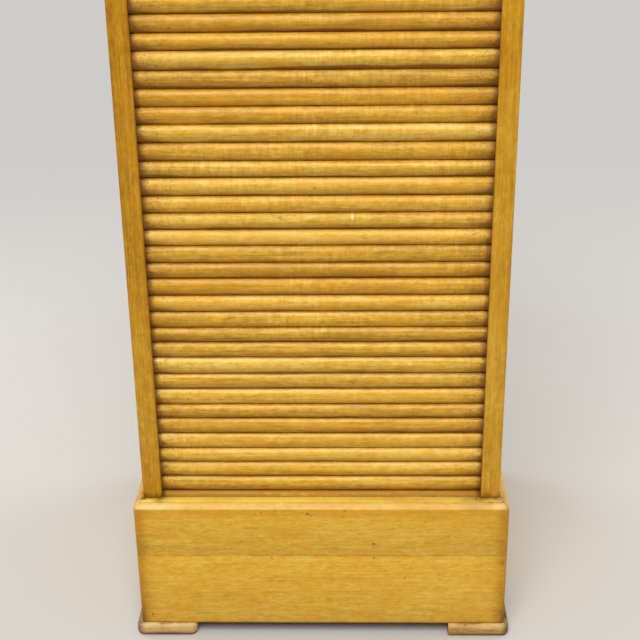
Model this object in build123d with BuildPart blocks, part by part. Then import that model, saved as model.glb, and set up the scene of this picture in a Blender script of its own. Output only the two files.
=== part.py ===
"""Tall wooden filing cabinet whose slatted front drops into the plinth and up behind a false back.

Millimetres. X runs to the right as seen from the front, Y to the back and Z up.
The origin is on the floor, in the middle of the footprint.
"""

import os
from math import ceil, pi

from build123d import *

os.makedirs("parts", exist_ok=True)

# Case
case_width = 435
case_depth = 400
overall_height = 1200
side_thick = 23
top_thick = 22
top_rail_height = 34
top_rail_thick = 18
top_chamfer = 7
back_thick = 8
back_lip = 9
edge_round = 1.5

# Plinth and feet
plinth_height = 174
plinth_thick = 18
plinth_proud_front = 15
plinth_proud_side = 11
plinth_chamfer = 7
plinth_lower_height = 101
foot_size = 76
foot_thick = 17
foot_proud_front = 5
foot_proud_side = 6.5
foot_corner = 9
foot_round = 5

# Tambour
slat_pitch = 20
slat_gap = 0.8
slat_thick = 8.5
slat_flank = 2.5
slat_recess = 6.25
slat_tongue = 7
groove_depth = 8
bend_radius = 75
bottom_run_height = 33
rear_run_inset = 30
tail_hidden = 30
canvas_thick = 0.8
canvas_inset = 6

# Lead rail, its pull and its canvas batten
lead_height = 46
lead_thick = 18
lead_setback = 1
pull_length = 220
pull_height = 14
pull_depth = 13
pull_rise = 4
pull_round = 4
pull_cove = 4.5
batten_height = 12
pull_screw_spacing = 90

# Lock, with its axis along Y
lock_rise = 32
plug_radius = 6
barrel_radius = 9
escutcheon_radius = 11
escutcheon_thick = 2
lock_case_width = 36
lock_case_height = 24
lock_case_thick = 9
keyway_width = 2
keyway_height = 8
keyway_depth = 7
tang_radius = 3.5
cam_thick = 3
cam_hub_radius = 7
cam_width = 9
cam_offset = 3.5
cam_reach = 37
nose_height = 6
nose_length = 8
keeper_thick = 2
keeper_width = 30
keeper_height = 28
ledge_width = 7
ledge_thick = 3
ledge_gap = 2

# Inside the case
shelf_count = 8
shelf_thick = 12
shelf_setback = 46
shelf_notch_radius = 60
deck_thick = 16
cleat_width = 14
cleat_height = 14
cleat_inset = 10
inner_back_thick = 6
inner_batten_width = 16
inner_batten_thick = 12

# Screws and dowels
screw_radius = 1.75
screw_head_radius = 3.5
screw_bite = 10
foot_screw_radius = 2.25
foot_screw_head_radius = 4.5
foot_screw_head = 2.5
foot_screw_bite = 24
foot_screw_sink = 4
foot_screw_inset = 52
back_screws_per_side = 7
inner_back_screws_per_side = 5
dowel_radius = 4
dowel_in_side = 20
dowel_in_top = 12
dowel_in_plinth = 16
end_margin = 40
cleat_screw_inset = 30
dowel_end_inset = 52

# Clearances
run_clear = 0.75
slide_clear = 0.6
fit_clear = 0.3
hole_clear = 0.05
plug_clear = 0.05
head_clear = 2
run_gap = 3

# Heights and depths that follow from the sizes above
half_width = case_width / 2
inner_half = half_width - side_thick
plinth_half = half_width + plinth_proud_side
plinth_inner_half = plinth_half - plinth_thick
overall_depth = case_depth + plinth_proud_front + foot_proud_front
back_y = overall_depth / 2
front_y = back_y - case_depth
plinth_front_y = front_y - plinth_proud_front
plinth_inner_front_y = plinth_front_y + plinth_thick
plinth_inner_back_y = back_y - plinth_thick
plinth_base_z = foot_thick
plinth_seam_z = plinth_base_z + plinth_lower_height
plinth_top_z = plinth_base_z + plinth_height
case_top_z = overall_height - top_thick
case_height = case_top_z - plinth_top_z

# Path of the tambour
groove_width = slat_thick + 2 * run_clear
run_front_y = front_y + slat_recess + slat_thick / 2
run_back_y = back_y - rear_run_inset
run_bottom_z = plinth_base_z + bottom_run_height
bend_z = run_bottom_z + bend_radius
bottom_run = run_back_y - run_front_y - 2 * bend_radius
top_rail_z = case_top_z - top_rail_height
lead_top_z = top_rail_z - head_clear
lead_base_z = lead_top_z - lead_height
slat_count = ceil((lead_base_z - plinth_top_z + tail_hidden) / slat_pitch)
tail_z = lead_base_z - slat_count * slat_pitch
tambour_travel = lead_base_z - plinth_top_z - fit_clear
tail_run = tambour_travel - (tail_z - bend_z) - pi * bend_radius - bottom_run
rear_groove_top_z = max(bend_z + tail_run, plinth_top_z) + 2 * slat_pitch
slat_length = 2 * (inner_half + slat_tongue)
slat_back_y = front_y + slat_recess + slat_thick

# Levels inside the case
shelf_front_y = front_y + shelf_setback
inner_back_y = (
    run_back_y - groove_width / 2 - run_gap - inner_batten_thick - inner_back_thick
)
inner_back_rear_y = inner_back_y + inner_back_thick
deck_z = plinth_top_z + cleat_height
deck_top_z = deck_z + deck_thick
shelf_pitch = (case_top_z - deck_top_z + shelf_thick) / (shelf_count + 1)
shelf_levels = [deck_top_z + k * shelf_pitch - shelf_thick for k in range(1, shelf_count + 1)]
cleat_levels = [level - cleat_height / 2 for level in [deck_z] + shelf_levels]
cleat_front_y = shelf_front_y + cleat_inset
cleat_back_y = inner_back_y - fit_clear
cleat_screw_ys = [cleat_front_y + cleat_screw_inset, cleat_back_y - cleat_screw_inset]
back_screw_x = (inner_half + half_width - back_lip) / 2
back_screw_step = (case_height - 2 * end_margin) / (back_screws_per_side - 1)
back_screw_zs = [
    plinth_top_z + end_margin + k * back_screw_step for k in range(back_screws_per_side)
]
inner_screw_x = inner_half - inner_batten_width / 2
inner_screw_step = (case_top_z - deck_top_z - 2 * end_margin) / (inner_back_screws_per_side - 1)
inner_screw_zs = [
    deck_top_z + end_margin + k * inner_screw_step for k in range(inner_back_screws_per_side)
]
dowel_ys = [front_y + dowel_end_inset, (front_y + back_y) / 2, back_y - dowel_end_inset]
top_dowel_x = inner_half + side_thick / 2
plinth_dowel_x = (inner_half + plinth_inner_half) / 2
cheek_screw_ys = [-bottom_run / 3, bottom_run / 3]
cheek_screw_zs = [bend_z - bend_radius / 2, (bend_z + plinth_top_z) / 2]

# Lock, from the front of the lead rail to the tip of its cam screw
lead_front_y = front_y + lead_setback
lead_back_y = lead_front_y + lead_thick
lock_z = lead_base_z + lock_rise
lock_case_back_y = lead_back_y + lock_case_thick
cam_front_y = lock_case_back_y + slide_clear
cam_back_y = cam_front_y + cam_thick
nose_z = lock_z + cam_reach - nose_height
ledge_top_z = nose_z - ledge_gap
ledge_z = ledge_top_z - ledge_thick
top_rail_back_y = front_y + top_rail_thick
keeper_back_y = top_rail_back_y + keeper_thick
ledge_right_x = cam_offset - cam_width / 2 - slide_clear

TOP = (Align.CENTER, Align.CENTER, Align.MAX)
FOOT = (Align.CENTER, Align.CENTER, Align.MIN)
HANDS = {"left": -1, "right": 1}


def wood_screw(length):
    """Adds a countersunk screw, with the flat of its head in the current XY plane, facing +Z."""
    head = screw_head_radius - screw_radius
    Cone(screw_radius, screw_head_radius, head, align=TOP)
    with Locations((0, 0, -head)):
        Cylinder(screw_radius, length - head, align=TOP)


def screw_hole(depth):
    """Cuts the countersunk hole that a wood screw sits in."""
    CounterSinkHole(
        radius=screw_radius + hole_clear,
        counter_sink_radius=screw_head_radius + hole_clear,
        counter_sink_angle=90,
        depth=depth,
    )


def pilot_hole(depth):
    """Cuts the blind hole that a wood screw's shank bites into."""
    Hole(screw_radius + hole_clear, depth)


# Case sides, each with the tambour's front and rear grooves and a rebate for the back
for hand, sign in HANDS.items():
    with BuildPart() as side:
        with BuildSketch(Plane.YZ.offset(sign * inner_half)):
            with Locations((front_y, plinth_top_z)):
                Rectangle(case_depth, case_height, align=(Align.MIN, Align.MIN))
        extrude(amount=sign * side_thick)
        front_edges = side.edges().filter_by(Axis.Z).group_by(Axis.Y)[0]
        fillet(front_edges, edge_round)
        with BuildSketch(Plane.YZ.offset(sign * inner_half)):
            with Locations((run_front_y, plinth_top_z)):
                Rectangle(groove_width, case_height, align=(Align.CENTER, Align.MIN))
            with Locations((run_back_y, plinth_top_z)):
                Rectangle(
                    groove_width, rear_groove_top_z - plinth_top_z, align=(Align.CENTER, Align.MIN)
                )
        extrude(amount=sign * groove_depth, mode=Mode.SUBTRACT)
        with BuildSketch(Plane.YZ.offset(sign * inner_half)):
            with Locations((back_y, plinth_top_z)):
                Rectangle(back_thick, case_height, align=(Align.MAX, Align.MIN))
        extrude(amount=sign * (side_thick - back_lip), mode=Mode.SUBTRACT)
        for level in cleat_levels:
            for y in cleat_screw_ys:
                with Locations(Plane((sign * inner_half, y, level), z_dir=(-sign, 0, 0))):
                    pilot_hole(screw_bite)
        for z in back_screw_zs:
            with Locations(Plane((sign * back_screw_x, back_y - back_thick, z), z_dir=(0, 1, 0))):
                pilot_hole(screw_bite)
        for y in dowel_ys:
            with Locations(Plane((sign * top_dowel_x, y, case_top_z), z_dir=(0, 0, 1))):
                Hole(dowel_radius + hole_clear, dowel_in_side)
            with Locations(Plane((sign * plinth_dowel_x, y, plinth_top_z), z_dir=(0, 0, -1))):
                Hole(dowel_radius + hole_clear, dowel_in_side)
    side.part.label = f"{hand}_side"
    export_step(side.part, f"parts/{hand}_side.step")

# Top board
with BuildPart() as top_board:
    with BuildSketch(Plane.XY.offset(case_top_z)):
        with Locations((0, plinth_front_y)):
            Rectangle(2 * plinth_half, back_y - plinth_front_y, align=(Align.CENTER, Align.MIN))
    extrude(amount=top_thick)
    rim = top_board.faces().sort_by(Axis.Z)[-1].edges().sort_by(Axis.Y)[:-1]
    chamfer(rim, top_chamfer)
    for x in (-top_dowel_x, top_dowel_x):
        for y in dowel_ys:
            with Locations(Plane((x, y, case_top_z), z_dir=(0, 0, -1))):
                Hole(dowel_radius + hole_clear, dowel_in_top)
top_board.part.label = "top_board"
export_step(top_board.part, "parts/top_board.step")

# Top front rail, whose tenons close the tops of the front grooves
with BuildPart() as top_front_rail:
    with BuildSketch(Plane.XY.offset(top_rail_z)):
        with Locations((0, front_y)):
            Rectangle(2 * inner_half, top_rail_thick, align=(Align.CENTER, Align.MIN))
        with Locations((0, run_front_y)):
            Rectangle(2 * (inner_half + groove_depth - fit_clear), groove_width - 2 * hole_clear)
    extrude(amount=top_rail_height)
    for x in (-keeper_width / 3, keeper_width / 3):
        with Locations(Plane((x, top_rail_back_y, case_top_z - keeper_height / 2), z_dir=(0, 1, 0))):
            pilot_hole(screw_bite)
top_front_rail.part.label = "top_front_rail"
export_step(top_front_rail.part, "parts/top_front_rail.step")

# Outer back, in the rebates of the sides
with BuildPart() as back_panel:
    with BuildSketch(Plane.XZ.offset(-back_y)):
        with Locations((0, plinth_top_z)):
            Rectangle(
                2 * (half_width - back_lip - fit_clear), case_height, align=(Align.CENTER, Align.MIN)
            )
    extrude(amount=back_thick)
    for x in (-back_screw_x, back_screw_x):
        for z in back_screw_zs:
            with Locations(Plane((x, back_y, z), z_dir=(0, 1, 0))):
                screw_hole(back_thick)
back_panel.part.label = "back_panel"
export_step(back_panel.part, "parts/back_panel.step")

with BuildPart() as back_screws:
    for x in (-back_screw_x, back_screw_x):
        for z in back_screw_zs:
            with Locations(Plane((x, back_y, z), z_dir=(0, 1, 0))):
                wood_screw(back_thick + screw_bite)
back_screws.part.label = "back_screws"
export_step(back_screws.part, "parts/back_screws.step")

# Inner back and the battens behind it
with BuildPart() as inner_back:
    with BuildSketch(Plane.XZ.offset(-inner_back_rear_y)):
        with Locations((0, deck_top_z)):
            Rectangle(
                2 * (inner_half - fit_clear),
                case_top_z - deck_top_z,
                align=(Align.CENTER, Align.MIN),
            )
    extrude(amount=inner_back_thick)
    for x in (-inner_screw_x, inner_screw_x):
        for z in inner_screw_zs:
            with Locations(Plane((x, inner_back_y, z), z_dir=(0, -1, 0))):
                screw_hole(inner_back_thick)
inner_back.part.label = "inner_back"
export_step(inner_back.part, "parts/inner_back.step")

for hand, sign in HANDS.items():
    with BuildPart() as inner_batten:
        with BuildSketch(Plane.XY.offset(deck_top_z)):
            with Locations((sign * (inner_half - inner_batten_width / 2), inner_back_rear_y)):
                Rectangle(inner_batten_width, inner_batten_thick, align=(Align.CENTER, Align.MIN))
        extrude(amount=case_top_z - deck_top_z)
        for z in inner_screw_zs:
            with Locations(Plane((sign * inner_screw_x, inner_back_rear_y, z), z_dir=(0, -1, 0))):
                pilot_hole(screw_bite)
    inner_batten.part.label = f"inner_batten_{hand}"
    export_step(inner_batten.part, f"parts/inner_batten_{hand}.step")

with BuildPart() as inner_back_screws:
    for x in (-inner_screw_x, inner_screw_x):
        for z in inner_screw_zs:
            with Locations(Plane((x, inner_back_y, z), z_dir=(0, -1, 0))):
                wood_screw(inner_back_thick + screw_bite - fit_clear)
inner_back_screws.part.label = "inner_back_screws"
export_step(inner_back_screws.part, "parts/inner_back_screws.step")

# Deck, shelves and the cleats that carry them
with BuildPart() as deck_board:
    with BuildSketch(Plane.XY.offset(deck_z)):
        with Locations((0, shelf_front_y)):
            Rectangle(
                2 * (inner_half - fit_clear),
                inner_back_rear_y + inner_batten_thick - shelf_front_y,
                align=(Align.CENTER, Align.MIN),
            )
    extrude(amount=deck_thick)
    fillet(deck_board.edges().filter_by(Axis.X).group_by(Axis.Y)[0], edge_round)
deck_board.part.label = "deck_board"
export_step(deck_board.part, "parts/deck_board.step")

for number, level in enumerate(shelf_levels, start=1):
    with BuildPart() as shelf:
        with BuildSketch(Plane.XY.offset(level)):
            with Locations((0, shelf_front_y)):
                Rectangle(
                    2 * (inner_half - fit_clear),
                    inner_back_y - shelf_front_y,
                    align=(Align.CENTER, Align.MIN),
                )
            with Locations((0, shelf_front_y - shelf_notch_radius / 2)):
                Circle(shelf_notch_radius, mode=Mode.SUBTRACT)
        extrude(amount=shelf_thick)
        fillet(shelf.edges().filter_by(Axis.X).group_by(Axis.Y)[0], edge_round)
    shelf.part.label = f"shelf_{number}"
    export_step(shelf.part, f"parts/shelf_{number}.step")

for hand, sign in HANDS.items():
    with BuildPart() as cleats:
        for level in cleat_levels:
            with BuildSketch(Plane.YZ.offset(sign * inner_half)):
                with Locations((cleat_front_y, level)):
                    Rectangle(
                        cleat_back_y - cleat_front_y, cleat_height, align=(Align.MIN, Align.CENTER)
                    )
            extrude(amount=-sign * cleat_width)
        for level in cleat_levels:
            for y in cleat_screw_ys:
                head_plane = Plane((sign * (inner_half - cleat_width), y, level), z_dir=(-sign, 0, 0))
                with Locations(head_plane):
                    screw_hole(cleat_width)
    cleats.part.label = f"shelf_cleats_{hand}"
    export_step(cleats.part, f"parts/shelf_cleats_{hand}.step")

with BuildPart() as cleat_screws:
    for sign in HANDS.values():
        for level in cleat_levels:
            for y in cleat_screw_ys:
                head_plane = Plane((sign * (inner_half - cleat_width), y, level), z_dir=(-sign, 0, 0))
                with Locations(head_plane):
                    wood_screw(cleat_width + screw_bite - fit_clear)
cleat_screws.part.label = "cleat_screws"
export_step(cleat_screws.part, "parts/cleat_screws.step")

# Plinth front of two edge-glued boards, mitred to the plinth sides
front_boards = {
    "plinth_front_lower": (plinth_base_z, plinth_lower_height),
    "plinth_front_upper": (plinth_seam_z, plinth_height - plinth_lower_height),
}
for name, (base_z, height) in front_boards.items():
    with BuildPart() as plinth_front:
        with BuildSketch(Plane.XY.offset(base_z)):
            with BuildLine():
                Polyline(
                    (-plinth_half, plinth_front_y),
                    (plinth_half, plinth_front_y),
                    (plinth_inner_half, plinth_inner_front_y),
                    (-plinth_inner_half, plinth_inner_front_y),
                    close=True,
                )
            make_face()
        extrude(amount=height)
        if name == "plinth_front_upper":
            top_edges = plinth_front.edges().filter_by(Axis.X).group_by(Axis.Z)[-1]
            chamfer(top_edges.sort_by(Axis.Y)[0], plinth_chamfer)
        else:
            for x in (-1, 1):
                foot_screw_x = x * (plinth_half - foot_screw_inset)
                middle_y = plinth_front_y + plinth_thick / 2
                with Locations(Plane((foot_screw_x, middle_y, plinth_base_z), z_dir=(0, 0, -1))):
                    Hole(foot_screw_radius + hole_clear, foot_screw_bite)
    plinth_front.part.label = name
    export_step(plinth_front.part, f"parts/{name}.step")

# Plinth sides and back
for hand, sign in HANDS.items():
    with BuildPart() as plinth_side:
        with BuildSketch(Plane.XY.offset(plinth_base_z)):
            with BuildLine():
                Polyline(
                    (sign * plinth_half, plinth_front_y),
                    (sign * plinth_half, back_y),
                    (sign * plinth_inner_half, back_y),
                    (sign * plinth_inner_half, plinth_inner_front_y),
                    close=True,
                )
            make_face()
        extrude(amount=plinth_height)
        top_edges = plinth_side.edges().filter_by(Axis.Y).group_by(Axis.Z)[-1]
        chamfer(top_edges.sort_by(Axis.X)[0 if sign < 0 else -1], plinth_chamfer)
        for y in (plinth_front_y + foot_screw_inset, back_y - foot_screw_inset):
            middle_x = sign * (plinth_half - plinth_thick / 2)
            with Locations(Plane((middle_x, y, plinth_base_z), z_dir=(0, 0, -1))):
                Hole(foot_screw_radius + hole_clear, foot_screw_bite)
        for y in cheek_screw_ys:
            for z in cheek_screw_zs:
                with Locations(Plane((sign * plinth_inner_half, y, z), z_dir=(-sign, 0, 0))):
                    pilot_hole(screw_bite)
    plinth_side.part.label = f"plinth_side_{hand}"
    export_step(plinth_side.part, f"parts/plinth_side_{hand}.step")

with BuildPart() as plinth_back:
    with BuildSketch(Plane.XY.offset(plinth_base_z)):
        with Locations((0, plinth_inner_back_y)):
            Rectangle(2 * plinth_inner_half, plinth_thick, align=(Align.CENTER, Align.MIN))
    extrude(amount=plinth_height)
    for x in (-1, 1):
        foot_screw_x = x * (plinth_half - foot_screw_inset)
        middle_y = back_y - plinth_thick / 2
        with Locations(Plane((foot_screw_x, middle_y, plinth_base_z), z_dir=(0, 0, -1))):
            Hole(foot_screw_radius + hole_clear, foot_screw_bite)
plinth_back.part.label = "plinth_back"
export_step(plinth_back.part, "parts/plinth_back.step")

# Cheeks inside the plinth, with the groove that turns the tambour under the deck
for hand, sign in HANDS.items():
    with BuildPart() as bend_cheek:
        with BuildSketch(Plane.YZ.offset(sign * inner_half)):
            with Locations((plinth_inner_front_y, plinth_base_z)):
                Rectangle(
                    plinth_inner_back_y - plinth_inner_front_y,
                    plinth_height,
                    align=(Align.MIN, Align.MIN),
                )
        extrude(amount=sign * (plinth_inner_half - inner_half))
        with BuildSketch(Plane.YZ.offset(sign * inner_half)):
            with BuildLine():
                Line((run_front_y, plinth_top_z), (run_front_y, bend_z))
                RadiusArc(
                    (run_front_y, bend_z), (run_front_y + bend_radius, run_bottom_z), -bend_radius
                )
                Line(
                    (run_front_y + bend_radius, run_bottom_z),
                    (run_back_y - bend_radius, run_bottom_z),
                )
                RadiusArc(
                    (run_back_y - bend_radius, run_bottom_z), (run_back_y, bend_z), -bend_radius
                )
                Line((run_back_y, bend_z), (run_back_y, plinth_top_z))
            trace(line_width=groove_width)
        extrude(amount=sign * groove_depth, mode=Mode.SUBTRACT)
        for y in cheek_screw_ys:
            for z in cheek_screw_zs:
                with Locations(Plane((sign * inner_half, y, z), z_dir=(-sign, 0, 0))):
                    screw_hole(plinth_inner_half - inner_half)
        for y in dowel_ys:
            with Locations(Plane((sign * plinth_dowel_x, y, plinth_top_z), z_dir=(0, 0, 1))):
                Hole(dowel_radius + hole_clear, dowel_in_plinth)
    bend_cheek.part.label = f"bend_cheek_{hand}"
    export_step(bend_cheek.part, f"parts/bend_cheek_{hand}.step")

with BuildPart() as cheek_screws:
    for sign in HANDS.values():
        for y in cheek_screw_ys:
            for z in cheek_screw_zs:
                with Locations(Plane((sign * inner_half, y, z), z_dir=(-sign, 0, 0))):
                    wood_screw(plinth_inner_half - inner_half + screw_bite - fit_clear)
cheek_screws.part.label = "cheek_screws"
export_step(cheek_screws.part, "parts/cheek_screws.step")

# Dowels between the plinth, the sides and the top
with BuildPart() as top_dowels:
    for x in (-top_dowel_x, top_dowel_x):
        for y in dowel_ys:
            with Locations((x, y, case_top_z - dowel_in_side + fit_clear)):
                Cylinder(dowel_radius, dowel_in_side + dowel_in_top - 2 * fit_clear, align=FOOT)
top_dowels.part.label = "top_dowels"
export_step(top_dowels.part, "parts/top_dowels.step")

with BuildPart() as plinth_dowels:
    for x in (-plinth_dowel_x, plinth_dowel_x):
        for y in dowel_ys:
            with Locations((x, y, plinth_top_z - dowel_in_plinth + fit_clear)):
                Cylinder(dowel_radius, dowel_in_side + dowel_in_plinth - 2 * fit_clear, align=FOOT)
plinth_dowels.part.label = "plinth_dowels"
export_step(plinth_dowels.part, "parts/plinth_dowels.step")

# Feet, bullnosed pads under the corners of the plinth
foot_rows = {
    "front": (plinth_front_y - foot_proud_front, 1, plinth_front_y),
    "rear": (back_y, -1, back_y),
}
foot_screw_points = []
for row, (edge_y, inward, board_y) in foot_rows.items():
    for hand, sign in HANDS.items():
        centre_x = sign * (plinth_half + foot_proud_side - foot_size / 2)
        centre_y = edge_y + inward * foot_size / 2
        holes = [
            (sign * (plinth_half - foot_screw_inset), board_y + inward * plinth_thick / 2),
            (sign * (plinth_half - plinth_thick / 2), board_y + inward * foot_screw_inset),
        ]
        with BuildPart() as foot:
            with BuildSketch():
                with Locations((centre_x, centre_y)):
                    Rectangle(foot_size, foot_size)
            extrude(amount=foot_thick)
            fillet(foot.edges().filter_by(Axis.Z), foot_corner)
            rims = foot.faces().filter_by(Axis.Z).edges()
            fillet(rims, foot_round)
            for x, y in holes:
                with Locations(Plane((x, y, 0), z_dir=(0, 0, -1))):
                    CounterBoreHole(
                        foot_screw_radius + hole_clear,
                        foot_screw_head_radius + fit_clear,
                        foot_screw_sink,
                        foot_thick,
                    )
        foot.part.label = f"foot_{row}_{hand}"
        export_step(foot.part, f"parts/foot_{row}_{hand}.step")
        foot_screw_points += holes

with BuildPart() as foot_screws:
    for x, y in foot_screw_points:
        with Locations((x, y, foot_screw_sink)):
            Cylinder(foot_screw_head_radius, foot_screw_head, align=TOP)
            Cylinder(
                foot_screw_radius,
                foot_thick - foot_screw_sink + foot_screw_bite - fit_clear,
                align=FOOT,
            )
foot_screws.part.label = "foot_screws"
export_step(foot_screws.part, "parts/foot_screws.step")

# Tambour slats: flat backs, short straight flanks and rounded fronts
slat_half = (slat_pitch - slat_gap) / 2
with BuildSketch(Plane.YZ) as slat_profile:
    with BuildLine():
        Polyline(
            (slat_thick - slat_flank, -slat_half),
            (slat_thick, -slat_half),
            (slat_thick, slat_half),
            (slat_thick - slat_flank, slat_half),
        )
        ThreePointArc(
            (slat_thick - slat_flank, slat_half), (0, 0), (slat_thick - slat_flank, -slat_half)
        )
    make_face()

with BuildPart() as tambour_slats:
    with BuildSketch(Plane.YZ.offset(-slat_length / 2)):
        for k in range(slat_count):
            with Locations((front_y + slat_recess, lead_base_z - (k + 0.5) * slat_pitch)):
                add(slat_profile.sketch_local)
    extrude(amount=slat_length)
tambour_slats.part.label = "tambour_slats"
export_step(tambour_slats.part, "parts/tambour_slats.step")

# Canvas glued to the backs of the slats and clamped to the lead rail by a batten
with BuildPart() as canvas_backing:
    with BuildSketch(Plane.XY.offset(tail_z)):
        with Locations((0, slat_back_y)):
            Rectangle(2 * (inner_half - canvas_inset), canvas_thick, align=(Align.CENTER, Align.MIN))
    extrude(amount=lead_base_z + batten_height - tail_z)
canvas_backing.part.label = "canvas_backing"
export_step(canvas_backing.part, "parts/canvas_backing.step")

with BuildPart() as canvas_batten:
    with BuildSketch(Plane.XY.offset(lead_base_z)):
        with Locations((0, slat_back_y + canvas_thick)):
            Rectangle(
                2 * (inner_half - canvas_inset),
                lead_back_y - slat_back_y - canvas_thick,
                align=(Align.CENTER, Align.MIN),
            )
    extrude(amount=batten_height)
canvas_batten.part.label = "canvas_batten"
export_step(canvas_batten.part, "parts/canvas_batten.step")

# Lead rail, whose tongues run in the grooves
with BuildPart() as lead_rail:
    with BuildSketch(Plane.XY.offset(lead_base_z)):
        with Locations((0, lead_front_y)):
            Rectangle(
                2 * (inner_half - slide_clear), lead_thick, align=(Align.CENTER, Align.MIN)
            )
        with Locations((0, run_front_y)):
            Rectangle(slat_length, slat_thick)
    extrude(amount=lead_height)
    with BuildSketch(Plane.XY.offset(lead_base_z)):
        with Locations((0, slat_back_y)):
            Rectangle(2 * inner_half, lead_thick, align=(Align.CENTER, Align.MIN))
    extrude(amount=batten_height, mode=Mode.SUBTRACT)
    with Locations(Plane((0, lead_front_y, lock_z), z_dir=(0, -1, 0))):
        Hole(barrel_radius + hole_clear, lead_thick)
    for x in (-pull_screw_spacing, 0, pull_screw_spacing):
        pull_screw_z = lead_base_z + pull_rise + pull_height / 2
        with Locations(Plane((x, lead_front_y, pull_screw_z), z_dir=(0, -1, 0))):
            pilot_hole(screw_bite)
lead_rail.part.label = "lead_rail"
export_step(lead_rail.part, "parts/lead_rail.step")

# Pull, a short moulding with a finger cove below, screwed to the lead rail
with BuildPart() as pull_moulding:
    with BuildSketch(Plane.YZ.offset(-pull_length / 2)):
        with Locations((lead_front_y, lead_base_z + pull_rise)):
            Rectangle(pull_depth, pull_height, align=(Align.MAX, Align.MIN))
        with Locations((lead_front_y - pull_depth / 2 + fit_clear, lead_base_z + pull_rise)):
            Circle(pull_cove, mode=Mode.SUBTRACT)
    extrude(amount=pull_length)
    fillet(pull_moulding.edges().filter_by(Axis.X).group_by(Axis.Y)[0].sort_by(Axis.Z)[-1], pull_round)
    for x in (-pull_screw_spacing, 0, pull_screw_spacing):
        pull_screw_z = lead_base_z + pull_rise + pull_height / 2
        with Locations(Plane((x, lead_front_y - pull_depth, pull_screw_z), z_dir=(0, -1, 0))):
            screw_hole(pull_depth)
pull_moulding.part.label = "pull_moulding"
export_step(pull_moulding.part, "parts/pull_moulding.step")

with BuildPart() as pull_screws:
    for x in (-pull_screw_spacing, 0, pull_screw_spacing):
        pull_screw_z = lead_base_z + pull_rise + pull_height / 2
        with Locations(Plane((x, lead_front_y - pull_depth, pull_screw_z), z_dir=(0, -1, 0))):
            wood_screw(pull_depth + screw_bite - fit_clear)
pull_screws.part.label = "pull_screws"
export_step(pull_screws.part, "parts/pull_screws.step")

# Lock case with its barrel through the lead rail, and the escutcheon round it
with BuildPart() as lock_case:
    with BuildSketch(Plane.XZ.offset(-lead_back_y)):
        with Locations((0, lock_z)):
            Circle(barrel_radius)
    extrude(amount=lead_thick)
    with BuildSketch(Plane.XZ.offset(-lock_case_back_y)):
        with Locations((0, lock_z)):
            RectangleRounded(lock_case_width, lock_case_height, edge_round)
    extrude(amount=lock_case_thick)
    with Locations(Plane((0, lead_front_y, lock_z), z_dir=(0, -1, 0))):
        Hole(plug_radius + plug_clear, lead_thick + lock_case_thick)
lock_case.part.label = "lock_case"
export_step(lock_case.part, "parts/lock_case.step")

with BuildPart() as lock_escutcheon:
    with BuildSketch(Plane.XZ.offset(-lead_front_y)):
        with Locations((0, lock_z)):
            Circle(escutcheon_radius)
            Circle(plug_radius + plug_clear, mode=Mode.SUBTRACT)
    extrude(amount=escutcheon_thick)
    outer_rim = lock_escutcheon.faces().sort_by(Axis.Y)[0].edges().sort_by(SortBy.RADIUS)[-1]
    fillet(outer_rim, escutcheon_thick / 2)
lock_escutcheon.part.label = "lock_escutcheon"
export_step(lock_escutcheon.part, "parts/lock_escutcheon.step")

# Plug with its keyway in front and a tang behind, which carries the cam
with BuildPart() as lock_plug:
    with BuildSketch(Plane.XZ.offset(-lock_case_back_y)):
        with Locations((0, lock_z)):
            Circle(plug_radius)
    extrude(amount=lead_thick + lock_case_thick + escutcheon_thick)
    with BuildSketch(Plane.XZ.offset(-cam_back_y)):
        with Locations((0, lock_z)):
            Circle(tang_radius)
    extrude(amount=cam_thick + slide_clear)
    with BuildSketch(Plane.XZ.offset(-(lead_front_y - escutcheon_thick))):
        with Locations((0, lock_z)):
            Rectangle(keyway_width, keyway_height)
    extrude(amount=-keyway_depth, mode=Mode.SUBTRACT)
    with Locations(Plane((0, cam_back_y, lock_z), z_dir=(0, 1, 0))):
        pilot_hole(screw_bite)
lock_plug.part.label = "lock_plug"
export_step(lock_plug.part, "parts/lock_plug.step")

# Hook cam, drawn unlocked: its arm lies along X with the nose upwards
with BuildPart() as hook_cam:
    with BuildSketch(Plane.XZ.offset(-cam_back_y)):
        with Locations((0, lock_z)):
            Circle(cam_hub_radius)
        with Locations((0, lock_z - cam_offset)):
            Rectangle(cam_reach, cam_width, align=(Align.MIN, Align.CENTER))
        with Locations((cam_reach - nose_height, lock_z - cam_offset + cam_width / 2)):
            Rectangle(nose_height, nose_length, align=(Align.MIN, Align.MIN))
        with Locations((0, lock_z)):
            Circle(tang_radius + hole_clear, mode=Mode.SUBTRACT)
    extrude(amount=cam_thick)
hook_cam.part.label = "hook_cam"
export_step(hook_cam.part, "parts/hook_cam.step")

with BuildPart() as cam_screw:
    with Locations(Plane((0, cam_back_y, lock_z), z_dir=(0, 1, 0))):
        Cylinder(tang_radius + 1.5 * screw_radius, screw_radius, align=FOOT)
        Cylinder(screw_radius, screw_bite - fit_clear, align=TOP)
cam_screw.part.label = "cam_screw"
export_step(cam_screw.part, "parts/cam_screw.step")

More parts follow.
